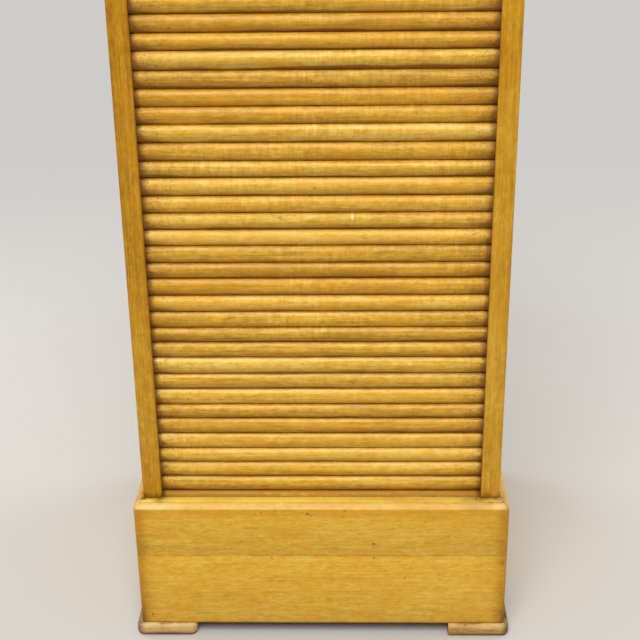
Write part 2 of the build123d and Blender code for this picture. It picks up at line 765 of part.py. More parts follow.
# Keeper behind the top front rail, with the ledge that the nose hooks over
with BuildPart() as keeper:
    with BuildSketch(Plane.XZ.offset(-keeper_back_y)):
        with Locations((0, case_top_z)):
            Rectangle(keeper_width, keeper_height, align=(Align.CENTER, Align.MAX))
    extrude(amount=keeper_thick)
    with BuildSketch(Plane.XZ.offset(-(cam_back_y + slide_clear))):
        with Locations((ledge_right_x, ledge_z)):
            Rectangle(ledge_width, ledge_thick, align=(Align.MAX, Align.MIN))
    extrude(amount=cam_back_y + slide_clear - keeper_back_y)
    for x in (-keeper_width / 3, keeper_width / 3):
        with Locations(Plane((x, keeper_back_y, case_top_z - keeper_height / 2), z_dir=(0, 1, 0))):
            screw_hole(keeper_thick)
keeper.part.label = "keeper"
export_step(keeper.part, "parts/keeper.step")

with BuildPart() as keeper_screws:
    for x in (-keeper_width / 3, keeper_width / 3):
        with Locations(Plane((x, keeper_back_y, case_top_z - keeper_height / 2), z_dir=(0, 1, 0))):
            wood_screw(keeper_thick + screw_bite - fit_clear)
keeper_screws.part.label = "keeper_screws"
export_step(keeper_screws.part, "parts/keeper_screws.step")
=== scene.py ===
"""Looks of the tambour filing cabinet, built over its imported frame.

Metres. X runs to the right as seen from the front, Y to the back and Z up.
"""

import logging
import math
import random
from collections.abc import Callable, Iterable
from dataclasses import dataclass
from enum import Enum
from functools import cached_property

import bmesh
import bpy
from mathutils import Matrix, Quaternion, Vector


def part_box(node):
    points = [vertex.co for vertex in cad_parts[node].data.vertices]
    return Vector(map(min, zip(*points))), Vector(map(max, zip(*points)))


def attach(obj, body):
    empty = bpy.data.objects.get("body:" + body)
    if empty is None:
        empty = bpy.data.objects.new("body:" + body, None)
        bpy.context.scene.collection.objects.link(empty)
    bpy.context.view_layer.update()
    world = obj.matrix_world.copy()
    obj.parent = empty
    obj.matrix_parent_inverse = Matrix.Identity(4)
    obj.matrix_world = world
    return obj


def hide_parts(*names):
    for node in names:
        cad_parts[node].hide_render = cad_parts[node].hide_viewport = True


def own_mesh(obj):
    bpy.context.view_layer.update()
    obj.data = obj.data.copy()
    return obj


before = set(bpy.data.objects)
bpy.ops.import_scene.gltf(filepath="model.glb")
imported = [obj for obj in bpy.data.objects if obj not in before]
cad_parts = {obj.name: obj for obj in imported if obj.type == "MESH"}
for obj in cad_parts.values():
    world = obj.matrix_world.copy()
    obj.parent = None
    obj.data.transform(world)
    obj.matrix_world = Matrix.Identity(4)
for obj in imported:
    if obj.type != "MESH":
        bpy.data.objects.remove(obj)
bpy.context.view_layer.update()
LOG = logging.getLogger("cabinet")

Span = tuple[float, float]
Vec = tuple[float, float, float]
Colour = tuple[float, float, float, float]
X, Y, Z = range(3)
HANDS = {"left": -1, "right": 1}
LEFT_TO_RIGHT: Span = (-0.1, 0.1)
EVEN: Vec = (1.0, 1.0, 1.0)
Test = Callable[[Vector, Vector], bool]
NEAR = 1e-5
SQUARE = 0.99
ALONG = 0.999
RIM = 0.95
SHARP = math.radians(28)
SPARE = 0.01
THROUGH = 1.0


def shade(*levels: int) -> Colour:
    """Turns a colour as it shows on a screen into a linear one.

    Args:
        levels: Red, green and blue, from 0 to 255.

    Returns:
        The linear colour.
    """

    def linear(share: float) -> float:
        """Undoes the screen's own curve for one channel."""
        return share / 12.92 if share <= 0.04045 else ((share + 0.055) / 1.055) ** 2.4

    return (*(linear(level / 255) for level in levels), 1.0)


class Signal:
    """A socket in a material, which Python's operators work on."""

    def __init__(self, nodes: "Nodes", socket: bpy.types.NodeSocket | None) -> None:
        """Wraps one output socket of a node."""
        self.nodes = nodes
        self.socket = socket

    def __add__(self, other: "Signal | float") -> "Signal":
        """Adds on the right."""
        return self.nodes.math("ADD", self, other)

    def __radd__(self, other: float) -> "Signal":
        """Adds on the left."""
        return self.nodes.math("ADD", other, self)

    def __sub__(self, other: "Signal | float") -> "Signal":
        """Takes away on the right."""
        return self.nodes.math("SUBTRACT", self, other)

    def __rsub__(self, other: float) -> "Signal":
        """Takes away from a number."""
        return self.nodes.math("SUBTRACT", other, self)

    def __mul__(self, other: "Signal | float") -> "Signal":
        """Multiplies on the right."""
        return self.nodes.math("MULTIPLY", self, other)

    def __rmul__(self, other: float) -> "Signal":
        """Multiplies on the left."""
        return self.nodes.math("MULTIPLY", other, self)

    def __abs__(self) -> "Signal":
        """Drops the sign."""
        return self.nodes.math("ABSOLUTE", self)


class Nodes:
    """The nodes of one material, or of the sky."""

    def __init__(self, owner: bpy.types.Material | bpy.types.World) -> None:
        """Starts with an empty tree.

        Args:
            owner: The material or the world that the nodes belong to.
        """
        owner.use_nodes = True
        self.owner = owner
        self.tree = owner.node_tree
        self.tree.nodes.clear()

    @classmethod
    def named(cls, name: str) -> "Nodes":
        """Starts a new material."""
        return cls(bpy.data.materials.new(name))

    @cached_property
    def place(self) -> Signal:
        """Gives the place on the piece."""
        return self.add("ShaderNodeTexCoord", output="Object")

    @staticmethod
    def _find(sockets: bpy.types.bpy_prop_collection, key: str | int) -> bpy.types.NodeSocket:
        """Finds a socket by its number, its identifier or its name.

        Args:
            sockets: A node's inputs or outputs.
            key: What to look for.

        Returns:
            The socket.
        """
        if isinstance(key, int):
            return sockets[key]
        named = [s for s in sockets if s.identifier == key] + [s for s in sockets if s.name == key]
        return named[0]

    def add(
        self,
        kind: str,
        settings: dict[str, object] | None = None,
        sockets: dict[str | int, object] | None = None,
        output: str | int = 0,
    ) -> Signal:
        """Adds one node.

        Args:
            kind: The node's type.
            settings: Its properties, set first. "stops" are a colour ramp's.
            sockets: The numbers, colours or links of its inputs.
            output: The output that is passed on.

        Returns:
            The output as a signal.
        """
        node = self.tree.nodes.new(kind)
        for name, value in (settings or {}).items():
            if name == "stops":
                stops = node.color_ramp.elements
                while len(stops) < len(value):
                    stops.new(1.0)
                for stop, (position, colour) in zip(stops, value):
                    stop.position = position
                    stop.color = colour
            else:
                setattr(node, name, value)
        for key, value in (sockets or {}).items():
            socket = self._find(node.inputs, key)
            if isinstance(value, Signal):
                self.tree.links.new(value.socket, socket)
            else:
                socket.default_value = value
        return Signal(self, self._find(node.outputs, output) if node.outputs else None)

    def math(self, operation: str, *values: Signal | float) -> Signal:
        """Adds a Math node on one, two or three values."""
        return self.add("ShaderNodeMath", {"operation": operation}, dict(enumerate(values)))

    def axis(self, number: int) -> Signal:
        """Gives the place along X, Y or Z."""
        return self.add("ShaderNodeSeparateXYZ", None, {0: self.place}, number)

    def step(self, value: Signal, low: float, high: float) -> Signal:
        """Rises smoothly from 0 at low to 1 at high, or falls if high is below low."""
        ends = {"Value": value, "From Min": low, "From Max": high}
        return self.add("ShaderNodeMapRange", {"interpolation_type": "SMOOTHSTEP"}, ends)

    def over(self, value: Signal, start: float, span: Span) -> Signal:
        """Rises smoothly from 0 to 1 over a span that is counted from a start."""
        return self.step(value, *(start + end for end in span))

    def mix(self, share: Signal | float, first: object, second: object) -> Signal:
        """Mixes two colours, by the share that the second one has."""
        ends = {"Factor_Float": share, "A_Color": first, "B_Color": second}
        return self.add("ShaderNodeMix", {"data_type": "RGBA"}, ends, "Result_Color")

    def ramp(self, value: Signal, stops: list[tuple[float, Colour]]) -> Signal:
        """Turns a value into a colour between stops."""
        return self.add("ShaderNodeValToRGB", {"stops": stops}, {"Fac": value})

    def seen(self) -> Signal:
        """Tells the rays from the camera, from gloss and through glass from all others.

        Returns:
            1 on those rays and 0 on the others.
        """
        camera, gloss, glass = (
            self.add("ShaderNodeLightPath", None, None, f"Is {kind} Ray")
            for kind in ("Camera", "Glossy", "Transmission")
        )
        return self.math("MAXIMUM", self.math("MAXIMUM", camera, gloss), glass)

    def noise(self, stretch: Vec, scale: float, detail: float = 3.0, twist: float = 0.0) -> Signal:
        """Adds cloudy noise.

        Args:
            stretch: How much the place counts along each axis.
            scale: How many clouds there are to a metre.
            detail: How many finer layers lie on it.
            twist: How far it is twisted.

        Returns:
            A signal of about 0.5 all over.
        """
        at = self.add("ShaderNodeMapping", None, {"Vector": self.place, "Scale": stretch})
        cloud = {"Vector": at, "Scale": scale, "Detail": detail, "Distortion": twist}
        return self.add("ShaderNodeTexNoise", None, cloud)

    def finish(self, height: Signal, relief: float, **sockets: object) -> bpy.types.Material:
        """Closes the material with a bumped surface.

        Args:
            height: The surface's relief.
            relief: The depth of that relief, in metres.
            sockets: The surface's other inputs, with _ for a space.

        Returns:
            The material.
        """
        bump = {"Height": height, "Distance": relief, "Strength": 1.0}
        inputs = {name.replace("_", " "): value for name, value in sockets.items()}
        inputs["Normal"] = self.add("ShaderNodeBump", None, bump)
        surface = self.add("ShaderNodeBsdfPrincipled", None, inputs)
        self.add("ShaderNodeOutputMaterial", None, {"Surface": surface})
        return self.owner


class Grain(Enum):
    """The axis that a board's grain runs along."""

    ACROSS = X
    DEEP = Y
    UPRIGHT = Z

    def along(self, share: float) -> Vec:
        """Draws a pattern out along the grain."""
        return tuple(share if axis == self.value else 1.0 for axis in range(3))

    def across(self, share: float) -> Vec:
        """Draws a pattern out across the grain."""
        return tuple(1.0 if axis == self.value else share for axis in range(3))


class Pattern(Enum):
    """The layers of grain: how much the place counts along it, clouds to a metre, detail and twist."""

    FIGURE = (0.06, 46.0, 4.0, 0.7)
    STREAK = (0.03, 430.0, 3.0, 0.0)
    FLECK = (0.3, 300.0, 4.0, 0.9)
    MOTTLE = (0.6, 130.0, 3.0, 0.5)
    CLOUD = (0.5, 10.0, 2.0, 0.0)
    PORE = (0.12, 1000.0, 3.0, 0.0)
    BLUSH = (0.45, 38.0, 3.0, 0.0)
    DIRT = (0.3, 40.0, 5.0, 0.0)
    POLISH = (0.08, 220.0, 3.0, 0.0)
    WAVER = (0.2, 14.0, 3.0, 0.0)

    def on(self, nodes: Nodes, grain: Grain) -> Signal:
        """Lays the layer along a board's grain."""
        share, *cloud = self.value
        return nodes.noise(grain.along(share), *cloud)


@dataclass(frozen=True)
class Mark:
    """A small mark on the front: a nail hole, a stain, a chip or a rubbed place."""

    x: float
    z: float
    wide: float
    high: float
    colour: Colour = shade(88, 48, 10)
    strength: float = 0.8
    ragged: float = 0.5
    grit: float = 900.0
    fade: Span = (1.7, 0.4)

    def mask(self, nodes: Nodes) -> Signal:
        """Covers the mark, with a ragged edge.

        Args:
            nodes: The nodes of the finish.

        Returns:
            The share of the mark's colour.
        """
        side = (nodes.axis(X) - self.x) * (1 / self.wide)
        rise = (nodes.axis(Z) - self.z) * (1 / self.high)
        reach = nodes.math("SQRT", side * side + rise * rise)
        return self.strength * nodes.step(reach + self.ragged * nodes.noise(EVEN, self.grit), *self.fade)


@dataclass(frozen=True)
class Rings:
    """The year rings of a panel that is glued up from boards, which the saw met in long arches."""

    across: int
    start: float
    board: float
    through: int | None = None
    face: float = 0.0
    level: float = 0.0
    heart: float = 0.08
    lean: float = 0.045
    drift: float = 0.06
    width: float = 0.007
    waver: float = 0.016
    strength: float = 0.2
    apart: float = 0.06
    quiet_y: float | None = None
    fade: float = 0.008

    @staticmethod
    def own(nodes: Nodes, number: Signal, pace: float, start: float) -> Signal:
        """Gives each board a value of its own, between -1 and 1."""
        return nodes.math("SINE", number * pace + start)

    def tone(self, nodes: Nodes, grain: Grain) -> Signal:
        """Darkens the late wood of each year, and sets the boards apart.

        Args:
            nodes: The nodes of the finish.
            grain: The axis that the boards run along.

        Returns:
            What the rings add to the tone.
        """
        side = (nodes.axis(self.across) - self.start) * (1 / self.board)
        number = nodes.math("FLOOR", side)
        tree = number * 2.4 + self.level * nodes.axis(Z)
        inward = (side - number - 0.5) * self.board + self.drift * self.own(nodes, tree, 1.7, 2.0)
        depth = self.heart + self.lean * self.own(nodes, tree, 1.0, 0.9) * nodes.axis(grain.value)
        if self.through is not None:
            depth = depth + abs(nodes.axis(self.through)) - self.face
        waver = self.waver * (Pattern.WAVER.on(nodes, grain) - 0.5)
        reach = nodes.math("SQRT", inward * inward + depth * depth) + waver
        late = nodes.step(nodes.math("FRACT", reach * (1 / self.width)), 0.25, 0.95)
        tone = self.strength * (0.4 - late) + self.apart * self.own(nodes, number, 5.1, 1.0)
        if self.quiet_y is not None:
            tone = tone * nodes.over(nodes.axis(Y), self.quiet_y, (0.0, self.fade))
        return tone


@dataclass(frozen=True)
class Wood:
    """Varnished wood: broad figure, fine streaks, short flecks and pores, soft mottling and dirt."""

    name: str
    grain: Grain
    deep: Colour
    middle: Colour
    pale: Colour
    warm: Colour
    # The top colour of the ramp; on the plinth it is the painted highlight and reflection on the ledge.
    painted_highlight: Colour | None = None
    pore: Colour = shade(140, 84, 14)
    dirt: Colour = shade(104, 54, 6)
    stops: tuple[float, ...] = (0.2, 0.5, 0.8, 1.0)
    figure: float = 0.5
    streak: float = 0.45
    fleck: float = 0.3
    mottle: float = 0.45
    cloud: float = 0.35
    ripple: float = 0.0
    pores: float = 0.25
    warmth: float = 0.4
    roughness: float = 0.42
    varnish: float = 0.08
    coat_roughness: float = 0.25
    shine: float = 0.35
    sheen: Colour = (1.0, 0.86, 0.55, 1.0)
    relief: float = 0.00012
    rings: Rings | None = None
    marks: tuple[Mark, ...] = ()

    def tone(self, nodes: Nodes) -> Signal | float:
        """Lightens or darkens whole areas. Plain wood has none."""
        return 0.0

    def blush(self, nodes: Nodes) -> Signal:
        """Gives the share of the warm colour."""
        return self.warmth * nodes.step(Pattern.BLUSH.on(nodes, self.grain), 0.42, 0.72)

    def gloss(self, nodes: Nodes) -> Signal | float:
        """Makes the varnish smoother in places. Plain wood has none."""
        return 0.0

    def grime(self, nodes: Nodes) -> Signal:
        """Covers the dirt that lies in the open grain."""
        return 0.25 * nodes.step(Pattern.DIRT.on(nodes, self.grain), 0.62, 0.8)

    def material(self) -> bpy.types.Material:
        """Makes the material.

        Returns:
            The material, ready for a piece.
        """
        nodes = Nodes.named(self.name)
        weights = {
            Pattern.FIGURE: self.figure,
            Pattern.STREAK: self.streak,
            Pattern.FLECK: self.fleck,
            Pattern.MOTTLE: self.mottle,
            Pattern.CLOUD: self.cloud,
        }
        layers = {pattern: pattern.on(nodes, self.grain) - 0.5 for pattern in weights}
        streak, mottle, cloud = (layers[p] for p in (Pattern.STREAK, Pattern.MOTTLE, Pattern.CLOUD))
        tone = 0.5 + self.tone(nodes)
        if self.rings:
            tone = tone + self.rings.tone(nodes, self.grain)
        for pattern, weight in weights.items():
            tone = tone + weight * layers[pattern]
        if self.ripple:
            chatter = nodes.noise(self.grain.across(0.2), 250.0, 2.0, 0.6) - 0.5
            tone = tone + self.ripple * chatter * nodes.step(cloud, -0.1, 0.12)
        colours = (self.deep, self.middle, self.pale, self.painted_highlight or self.pale)
        colour = nodes.ramp(tone, list(zip(self.stops, colours)))
        pores = self.pores * nodes.step(Pattern.PORE.on(nodes, self.grain), 0.5, 0.72)
        grime = self.grime(nodes)
        for share, cover in ((self.blush(nodes), self.warm), (pores, self.pore), (grime, self.dirt)):
            colour = nodes.mix(share, colour, cover)
        height = 0.5 * streak + 0.5 * mottle - pores
        for mark in self.marks:
            mask = mark.mask(nodes)
            colour = nodes.mix(mask, colour, mark.colour)
            height = height - 0.3 * mask
        return nodes.finish(
            height,
            self.relief,
            Base_Color=colour,
            Roughness=self.roughness + 0.3 * streak + 0.25 * cloud + 0.3 * grime - self.gloss(nodes),
            Specular_IOR_Level=self.shine,
            Specular_Tint=self.sheen,
            Coat_Weight=self.varnish * (1 - grime),
            Coat_Roughness=self.coat_roughness,
        )


@dataclass(frozen=True)
class SlatWood(Wood):
    """Slat wood, with a tone of its own on each slat, painted shade higher up and on each slat's lower
    half, and dirt and painted shade at the ends and by the gaps.
    """

    end_x: float = 0.1945
    # Reach of the painted shadow that the stile casts on the slats' ends.
    stile_shadow: Span = (-0.008, 0.0)
    soiled: Span = (-0.036, 0.0)
    dusty: Span = (-0.07, 0.0)
    waver: float = 0.012
    # Painted shade, darker higher up.
    top_painted_shade: float = 0.08
    top_painted_shade_z: Span = (0.3, 0.8)

    @staticmethod
    def carried(nodes: Nodes, name: str) -> Signal:
        """Reads a value that the slat's mesh carries."""
        slat = {"attribute_type": "GEOMETRY", "attribute_name": name}
        return nodes.add("ShaderNodeAttribute", slat, None, "Fac")

    def tone(self, nodes: Nodes) -> Signal:
        """Gives each slat the tone that its mesh carries, and paints shade on the slats higher up."""
        return self.carried(nodes, "tone") - self.top_painted_shade * nodes.step(nodes.axis(Z), *self.top_painted_shade_z)

    def blush(self, nodes: Nodes) -> Signal:
        """Gives each slat its own share of the warm colour."""
        return super().blush(nodes) + self.carried(nodes, "warmth")

    def gloss(self, nodes: Nodes) -> Signal:
        """Makes some slats smoother than others, in long streaks."""
        return self.carried(nodes, "gloss") + 0.6 * (Pattern.POLISH.on(nodes, self.grain) - 0.5)

    def grime(self, nodes: Nodes) -> Signal:
        """Covers the slats' ends with dirt and the stile's painted shadow, their lower halves with
        painted shade, and their edges by the gaps with dirt and painted shade.

        Args:
            nodes: The nodes of the finish.

        Returns:
            The share of the dirt's colour.
        """
        across = self.carried(nodes, "across")
        uneven = nodes.noise((0.4, 1.0, 1.0), 130.0, 4.0) - 0.5
        blots = nodes.noise((0.2, 1.0, 1.0), 70.0, 4.0) - 0.5
        speckle = nodes.noise((0.8, 1.0, 1.0), 620.0, 2.0)
        reach = abs(nodes.axis(X)) + self.waver * uneven
        # Lower half of the slat, facing down, where painted shade goes.
        lower = nodes.step(across, 0.8, 0.2)
        # Painted shadow of the stile close to the ends, over dirt.
        ends = nodes.over(reach, self.end_x, self.stile_shadow)
        soil = nodes.over(reach, self.end_x, self.soiled) * (0.25 + 0.75 * lower)
        dust = nodes.over(reach, self.end_x, self.dusty) * nodes.step(speckle, 0.52, 0.7)
        # Dirt and painted shade along the lower and upper edges, by the gaps.
        below = nodes.step(across + 0.5 * blots, 0.24, 0.02)
        above = nodes.step(across + 0.06 * uneven, 0.95, 1.0)
        specks = nodes.step(speckle + 0.3 * blots, 0.66, 0.75)
        grime = 0.6 * ends + 0.45 * soil + 0.35 * dust + 0.28 * above + 0.45 * specks
        # Each slat's soil sets the strength of the painted shade on its lower half and of the dirt and
        # painted shade by its lower gap.
        grime = grime + self.carried(nodes, "soil") * (0.28 * lower + 0.5 * below)
        return nodes.math("MINIMUM", grime, 0.85)


@dataclass(frozen=True)
class StileWood(Wood):
    """Wood of the sides, with dirt where they stand on the plinth, painted light on the right side and
    painted shade higher up.
    """

    foot_z: float = 0.191
    soiled: Span = (0.01, 0.0)
    waver: float = 0.016
    # Painted light on the right side and painted shade higher up.
    right_painted_light: float = 0.2
    deeper: float = 0.06
    top_painted_shade: float = 0.14
    top_painted_shade_z: Span = (0.35, 0.8)

    def tone(self, nodes: Nodes) -> Signal:
        """Paints light on the right side, so that it is paler than the left, and paints shade on both
        higher up.
        """
        right = nodes.step(nodes.axis(X), *LEFT_TO_RIGHT)
        return self.right_painted_light * right - self.deeper - self.top_painted_shade * nodes.step(nodes.axis(Z), *self.top_painted_shade_z)

    def grime(self, nodes: Nodes) -> Signal:
        """Covers the foot of the side.

        Args:
            nodes: The nodes of the finish.

        Returns:
            The share of the dirt's colour.
        """
        uneven = nodes.noise((1.0, 1.0, 0.6), 160.0, 5.0)
        base = nodes.over(nodes.axis(Z) + self.waver * (uneven - 0.5), self.foot_z, self.soiled)
        return nodes.math("MINIMUM", 0.7 * base + 0.2 * nodes.step(uneven, 0.64, 0.8), 0.9)


@dataclass(frozen=True)
class PlinthWood(Wood):
    """Wood of the plinth: painted shade on the corners, a rubbed pale edge, a glue line, and dirt and a
    painted highlight on the ledge.
    """

    corner_x: float = 0.2285
    front_y: float = -0.205
    stile_x: float = 0.2175
    stile_y: float = -0.190
    edge_z: float = 0.184
    ledge_z: float = 0.191
    seam_z: float = 0.118
    base_z: float = 0.017
    ledge_skin: Span = (-0.0009, -0.0002)
    rubbed: Span = (-0.0006, 0.0008)
    painted_shade_and_grime: Span = (-0.016, -0.002)
    warmed: Span = (-0.013, -0.002)
    under_edge: Span = (0.0004, -0.0004)
    chamfer: Span = (-0.001, 0.001)
    ends_x: Span = (0.165, 0.205)
    ends_waver: float = 0.05
    ledge_front: Span = (0.03, 0.0)
    side_gap: Span = (0.0018, 0.0)
    front_gap: Span = (-0.005, -0.001)
    rim_drop: float = 0.0007
    rim: Span = (0.0007, 0.0002)
    base: Span = (0.003, 0.0)
    base_waver: float = 0.004
    seam: Span = (0.0022, 0.0002)
    foot: Span = (0.06, 0.0)
    # Reaches of the painted shade on the rounded front corners, and of the dirt near the feet.
    corner_painted_shade: float = 0.018
    corner_painted_shade_wide: float = 0.034
    corner_foot: float = 0.009

    def corner(self, nodes: Nodes, reach: float) -> Signal:
        """Covers the front corners, out to a reach along both of their faces."""
        inward = nodes.math("MAXIMUM", self.corner_x - abs(nodes.axis(X)), nodes.axis(Y) - self.front_y)
        return nodes.step(inward, reach, 0.1 * reach)

    def ledge(self, nodes: Nodes) -> Signal:
        """Covers the ledge on top."""
        return nodes.over(nodes.axis(Z), self.ledge_z, self.ledge_skin)

    def tone(self, nodes: Nodes) -> Signal:
        """Paints shade on the front corners, darkens a band under the chamfer, lightens the rubbed edge
        and paints a highlight on the ledge.

        Args:
            nodes: The nodes of the finish.

        Returns:
            What is added to the tone.
        """
        height = nodes.axis(Z)
        edge = nodes.over(height, self.edge_z, self.rubbed)
        band = nodes.over(height, self.edge_z, self.painted_shade_and_grime)
        # Painted shade on the rounded front corners, with a darker band under the chamfer.
        painted_shade_and_grime = 0.16 * band + 0.3 * self.corner(nodes, self.corner_painted_shade)
        # The ledge on top gets a painted highlight and reflection.
        return 0.02 * edge + 0.5 * self.ledge(nodes) - painted_shade_and_grime * (1 - edge)

    def blush(self, nodes: Nodes) -> Signal:
        """Adds a warm band under the rubbed edge.

        Args:
            nodes: The nodes of the finish.

        Returns:
            The share of the warm colour.
        """
        height = nodes.axis(Z)
        band = nodes.over(height, self.edge_z, self.warmed)
        below = nodes.over(height, self.edge_z, self.under_edge)
        return super().blush(nodes) + 0.3 * band * below

    def grime(self, nodes: Nodes) -> Signal:
        """Covers the glue line, the corner under the sides and the ledge's ends with dirt, the lowest
        edge with dirt and painted shadow, and the front corners with painted shade.

        Args:
            nodes: The nodes of the finish.

        Returns:
            The share of the dirt's colour.
        """
        uneven = nodes.noise((0.35, 0.35, 1.0), 150.0, 5.0)
        crumb = nodes.noise((0.7, 0.7, 1.0), 420.0, 3.0)
        side = abs(nodes.axis(X))
        depth = nodes.axis(Y)
        height = nodes.axis(Z)
        edge = nodes.over(height, self.edge_z, self.chamfer)
        ends = nodes.step(side + self.ends_waver * (uneven - 0.5), *self.ends_x)
        front = nodes.over(depth, self.stile_y, self.ledge_front)
        smudge = ends * front * nodes.step(uneven, 0.46, 0.66)
        corner = nodes.over(side, self.stile_x, self.side_gap) * (1 - front)
        corner = corner + ends * nodes.over(depth, self.stile_y, self.front_gap) * front
        crumbs = self.ledge(nodes) * corner * nodes.step(crumb, 0.38, 0.66)
        rim = nodes.step(abs(height - (self.ledge_z - self.rim_drop)), *self.rim)
        # Dirt and painted shadow along the lowest edge, over the feet.
        base = nodes.over(height + self.base_waver * (uneven - 0.5), self.base_z, self.base)
        seam = nodes.step(abs(height - self.seam_z), *self.seam) * nodes.step(uneven, 0.3, 0.62)
        specks = nodes.step(nodes.noise((0.6, 1.0, 1.0), 300.0, 2.0), 0.7, 0.8)
        foot = nodes.over(height, self.base_z, self.foot)
        # Painted shade on the rounded front corners, and dirt on them near the feet.
        painted_shade_and_grime = 0.13 * self.corner(nodes, self.corner_painted_shade_wide)
        painted_shade_and_grime = painted_shade_and_grime + 0.5 * self.corner(nodes, self.corner_foot) * foot
        grime = 0.4 * edge * smudge + 0.7 * crumbs + 0.36 * rim + painted_shade_and_grime * (1 - edge)
        grime = grime + 0.62 * base + 0.3 * seam + 0.3 * specks
        return nodes.math("MINIMUM", grime, 0.85)


@dataclass(frozen=True)
class FootWood(Wood):
    """Wood of the feet, scuffed bare on the face and dirty by the floor, with a painted highlight on the
    upper edge and painted shadow under the plinth.
    """

    top_z: float = 0.017
    waver: float = 0.006
    paler: float = 0.2
    # Painted highlight on the rounded upper edge.
    top_painted_highlight: float = 0.22
    right_deeper: float = 0.36

    def tone(self, nodes: Nodes) -> Signal:
        """Paints a highlight on the upper edge and makes the feet on the right darker.

        Args:
            nodes: The nodes of the finish.

        Returns:
            What is added to the tone.
        """
        upper = nodes.step(nodes.axis(Z), 0.55 * self.top_z, 0.9 * self.top_z)
        right = nodes.step(nodes.axis(X), *LEFT_TO_RIGHT)
        return self.paler + self.top_painted_highlight * upper - self.right_deeper * right

    def grime(self, nodes: Nodes) -> Signal:
        """Covers the lower edge and the scuffs with dirt, and paints shadow on the upper edge under the
        plinth.

        Args:
            nodes: The nodes of the finish.

        Returns:
            The share of the dirt's colour.
        """
        uneven = nodes.noise((0.4, 0.4, 1.0), 150.0, 5.0)
        height = nodes.axis(Z) + self.waver * (uneven - 0.5)
        low = nodes.step(height, 0.42 * self.top_z, 0.1 * self.top_z)
        # Painted shadow under the plinth, along the upper edge.
        upper = nodes.step(height, 0.95 * self.top_z, self.top_z)
        scuffs = nodes.step(uneven, 0.5, 0.75)
        return nodes.math("MINIMUM", 0.7 * low + 0.5 * upper + 0.35 * scuffs, 0.85)


@dataclass(frozen=True)
class Cloth:
    """Unbleached canvas in a plain weave."""

    name: str = "canvas"
    warp: Colour = shade(196, 182, 152)
    weft: Colour = shade(176, 160, 128)
    soil: Colour = shade(120, 98, 66)
    thread: float = 0.0008
    roughness: float = 0.86
    relief: float = 0.0003

    def material(self) -> bpy.types.Material:
        """Makes the weave from two rows of threads, set over and under.

        Returns:
            The material.
        """
        nodes = Nodes.named(self.name)
        turn = 2 * math.pi / self.thread
        across = nodes.math("SINE", nodes.axis(X) * turn)
        upright = nodes.math("SINE", nodes.axis(Z) * turn)
        weave = 0.5 + 0.5 * across * upright
        slub = nodes.noise((1.0, 1.0, 0.05), 500.0)
        soil = nodes.step(nodes.noise(EVEN, 14.0, 5.0), 0.5, 0.75)
        colour = nodes.mix(weave, self.weft, self.warp)
        return nodes.finish(
            weave + slub,
            self.relief,
            Base_Color=nodes.mix(0.5 * soil + 0.3 * slub - 0.1, colour, self.soil),
            Roughness=self.roughness + 0.1 * (slub - 0.5),
        )


@dataclass(frozen=True)
class Metal:
    """Dulled metal with fine scratches and tarnish."""

    name: str
    bright: Colour
    tarnish: Colour
    roughness: float = 0.34
    relief: float = 0.00006

    def material(self) -> bpy.types.Material:
        """Makes the material.

        Returns:
            The material.
        """
        nodes = Nodes.named(self.name)
        patch = nodes.step(nodes.noise(EVEN, 260.0, 5.0), 0.42, 0.7)
        scratch = nodes.noise((1.0, 0.05, 0.3), 3800.0, 2.0)
        return nodes.finish(
            scratch + 0.5 * patch,
            self.relief,
            Base_Color=nodes.mix(patch, self.bright, self.tarnish),
            Roughness=self.roughness + 0.3 * patch + 0.2 * (scratch - 0.5),
            Metallic=1 - 0.25 * patch,
        )


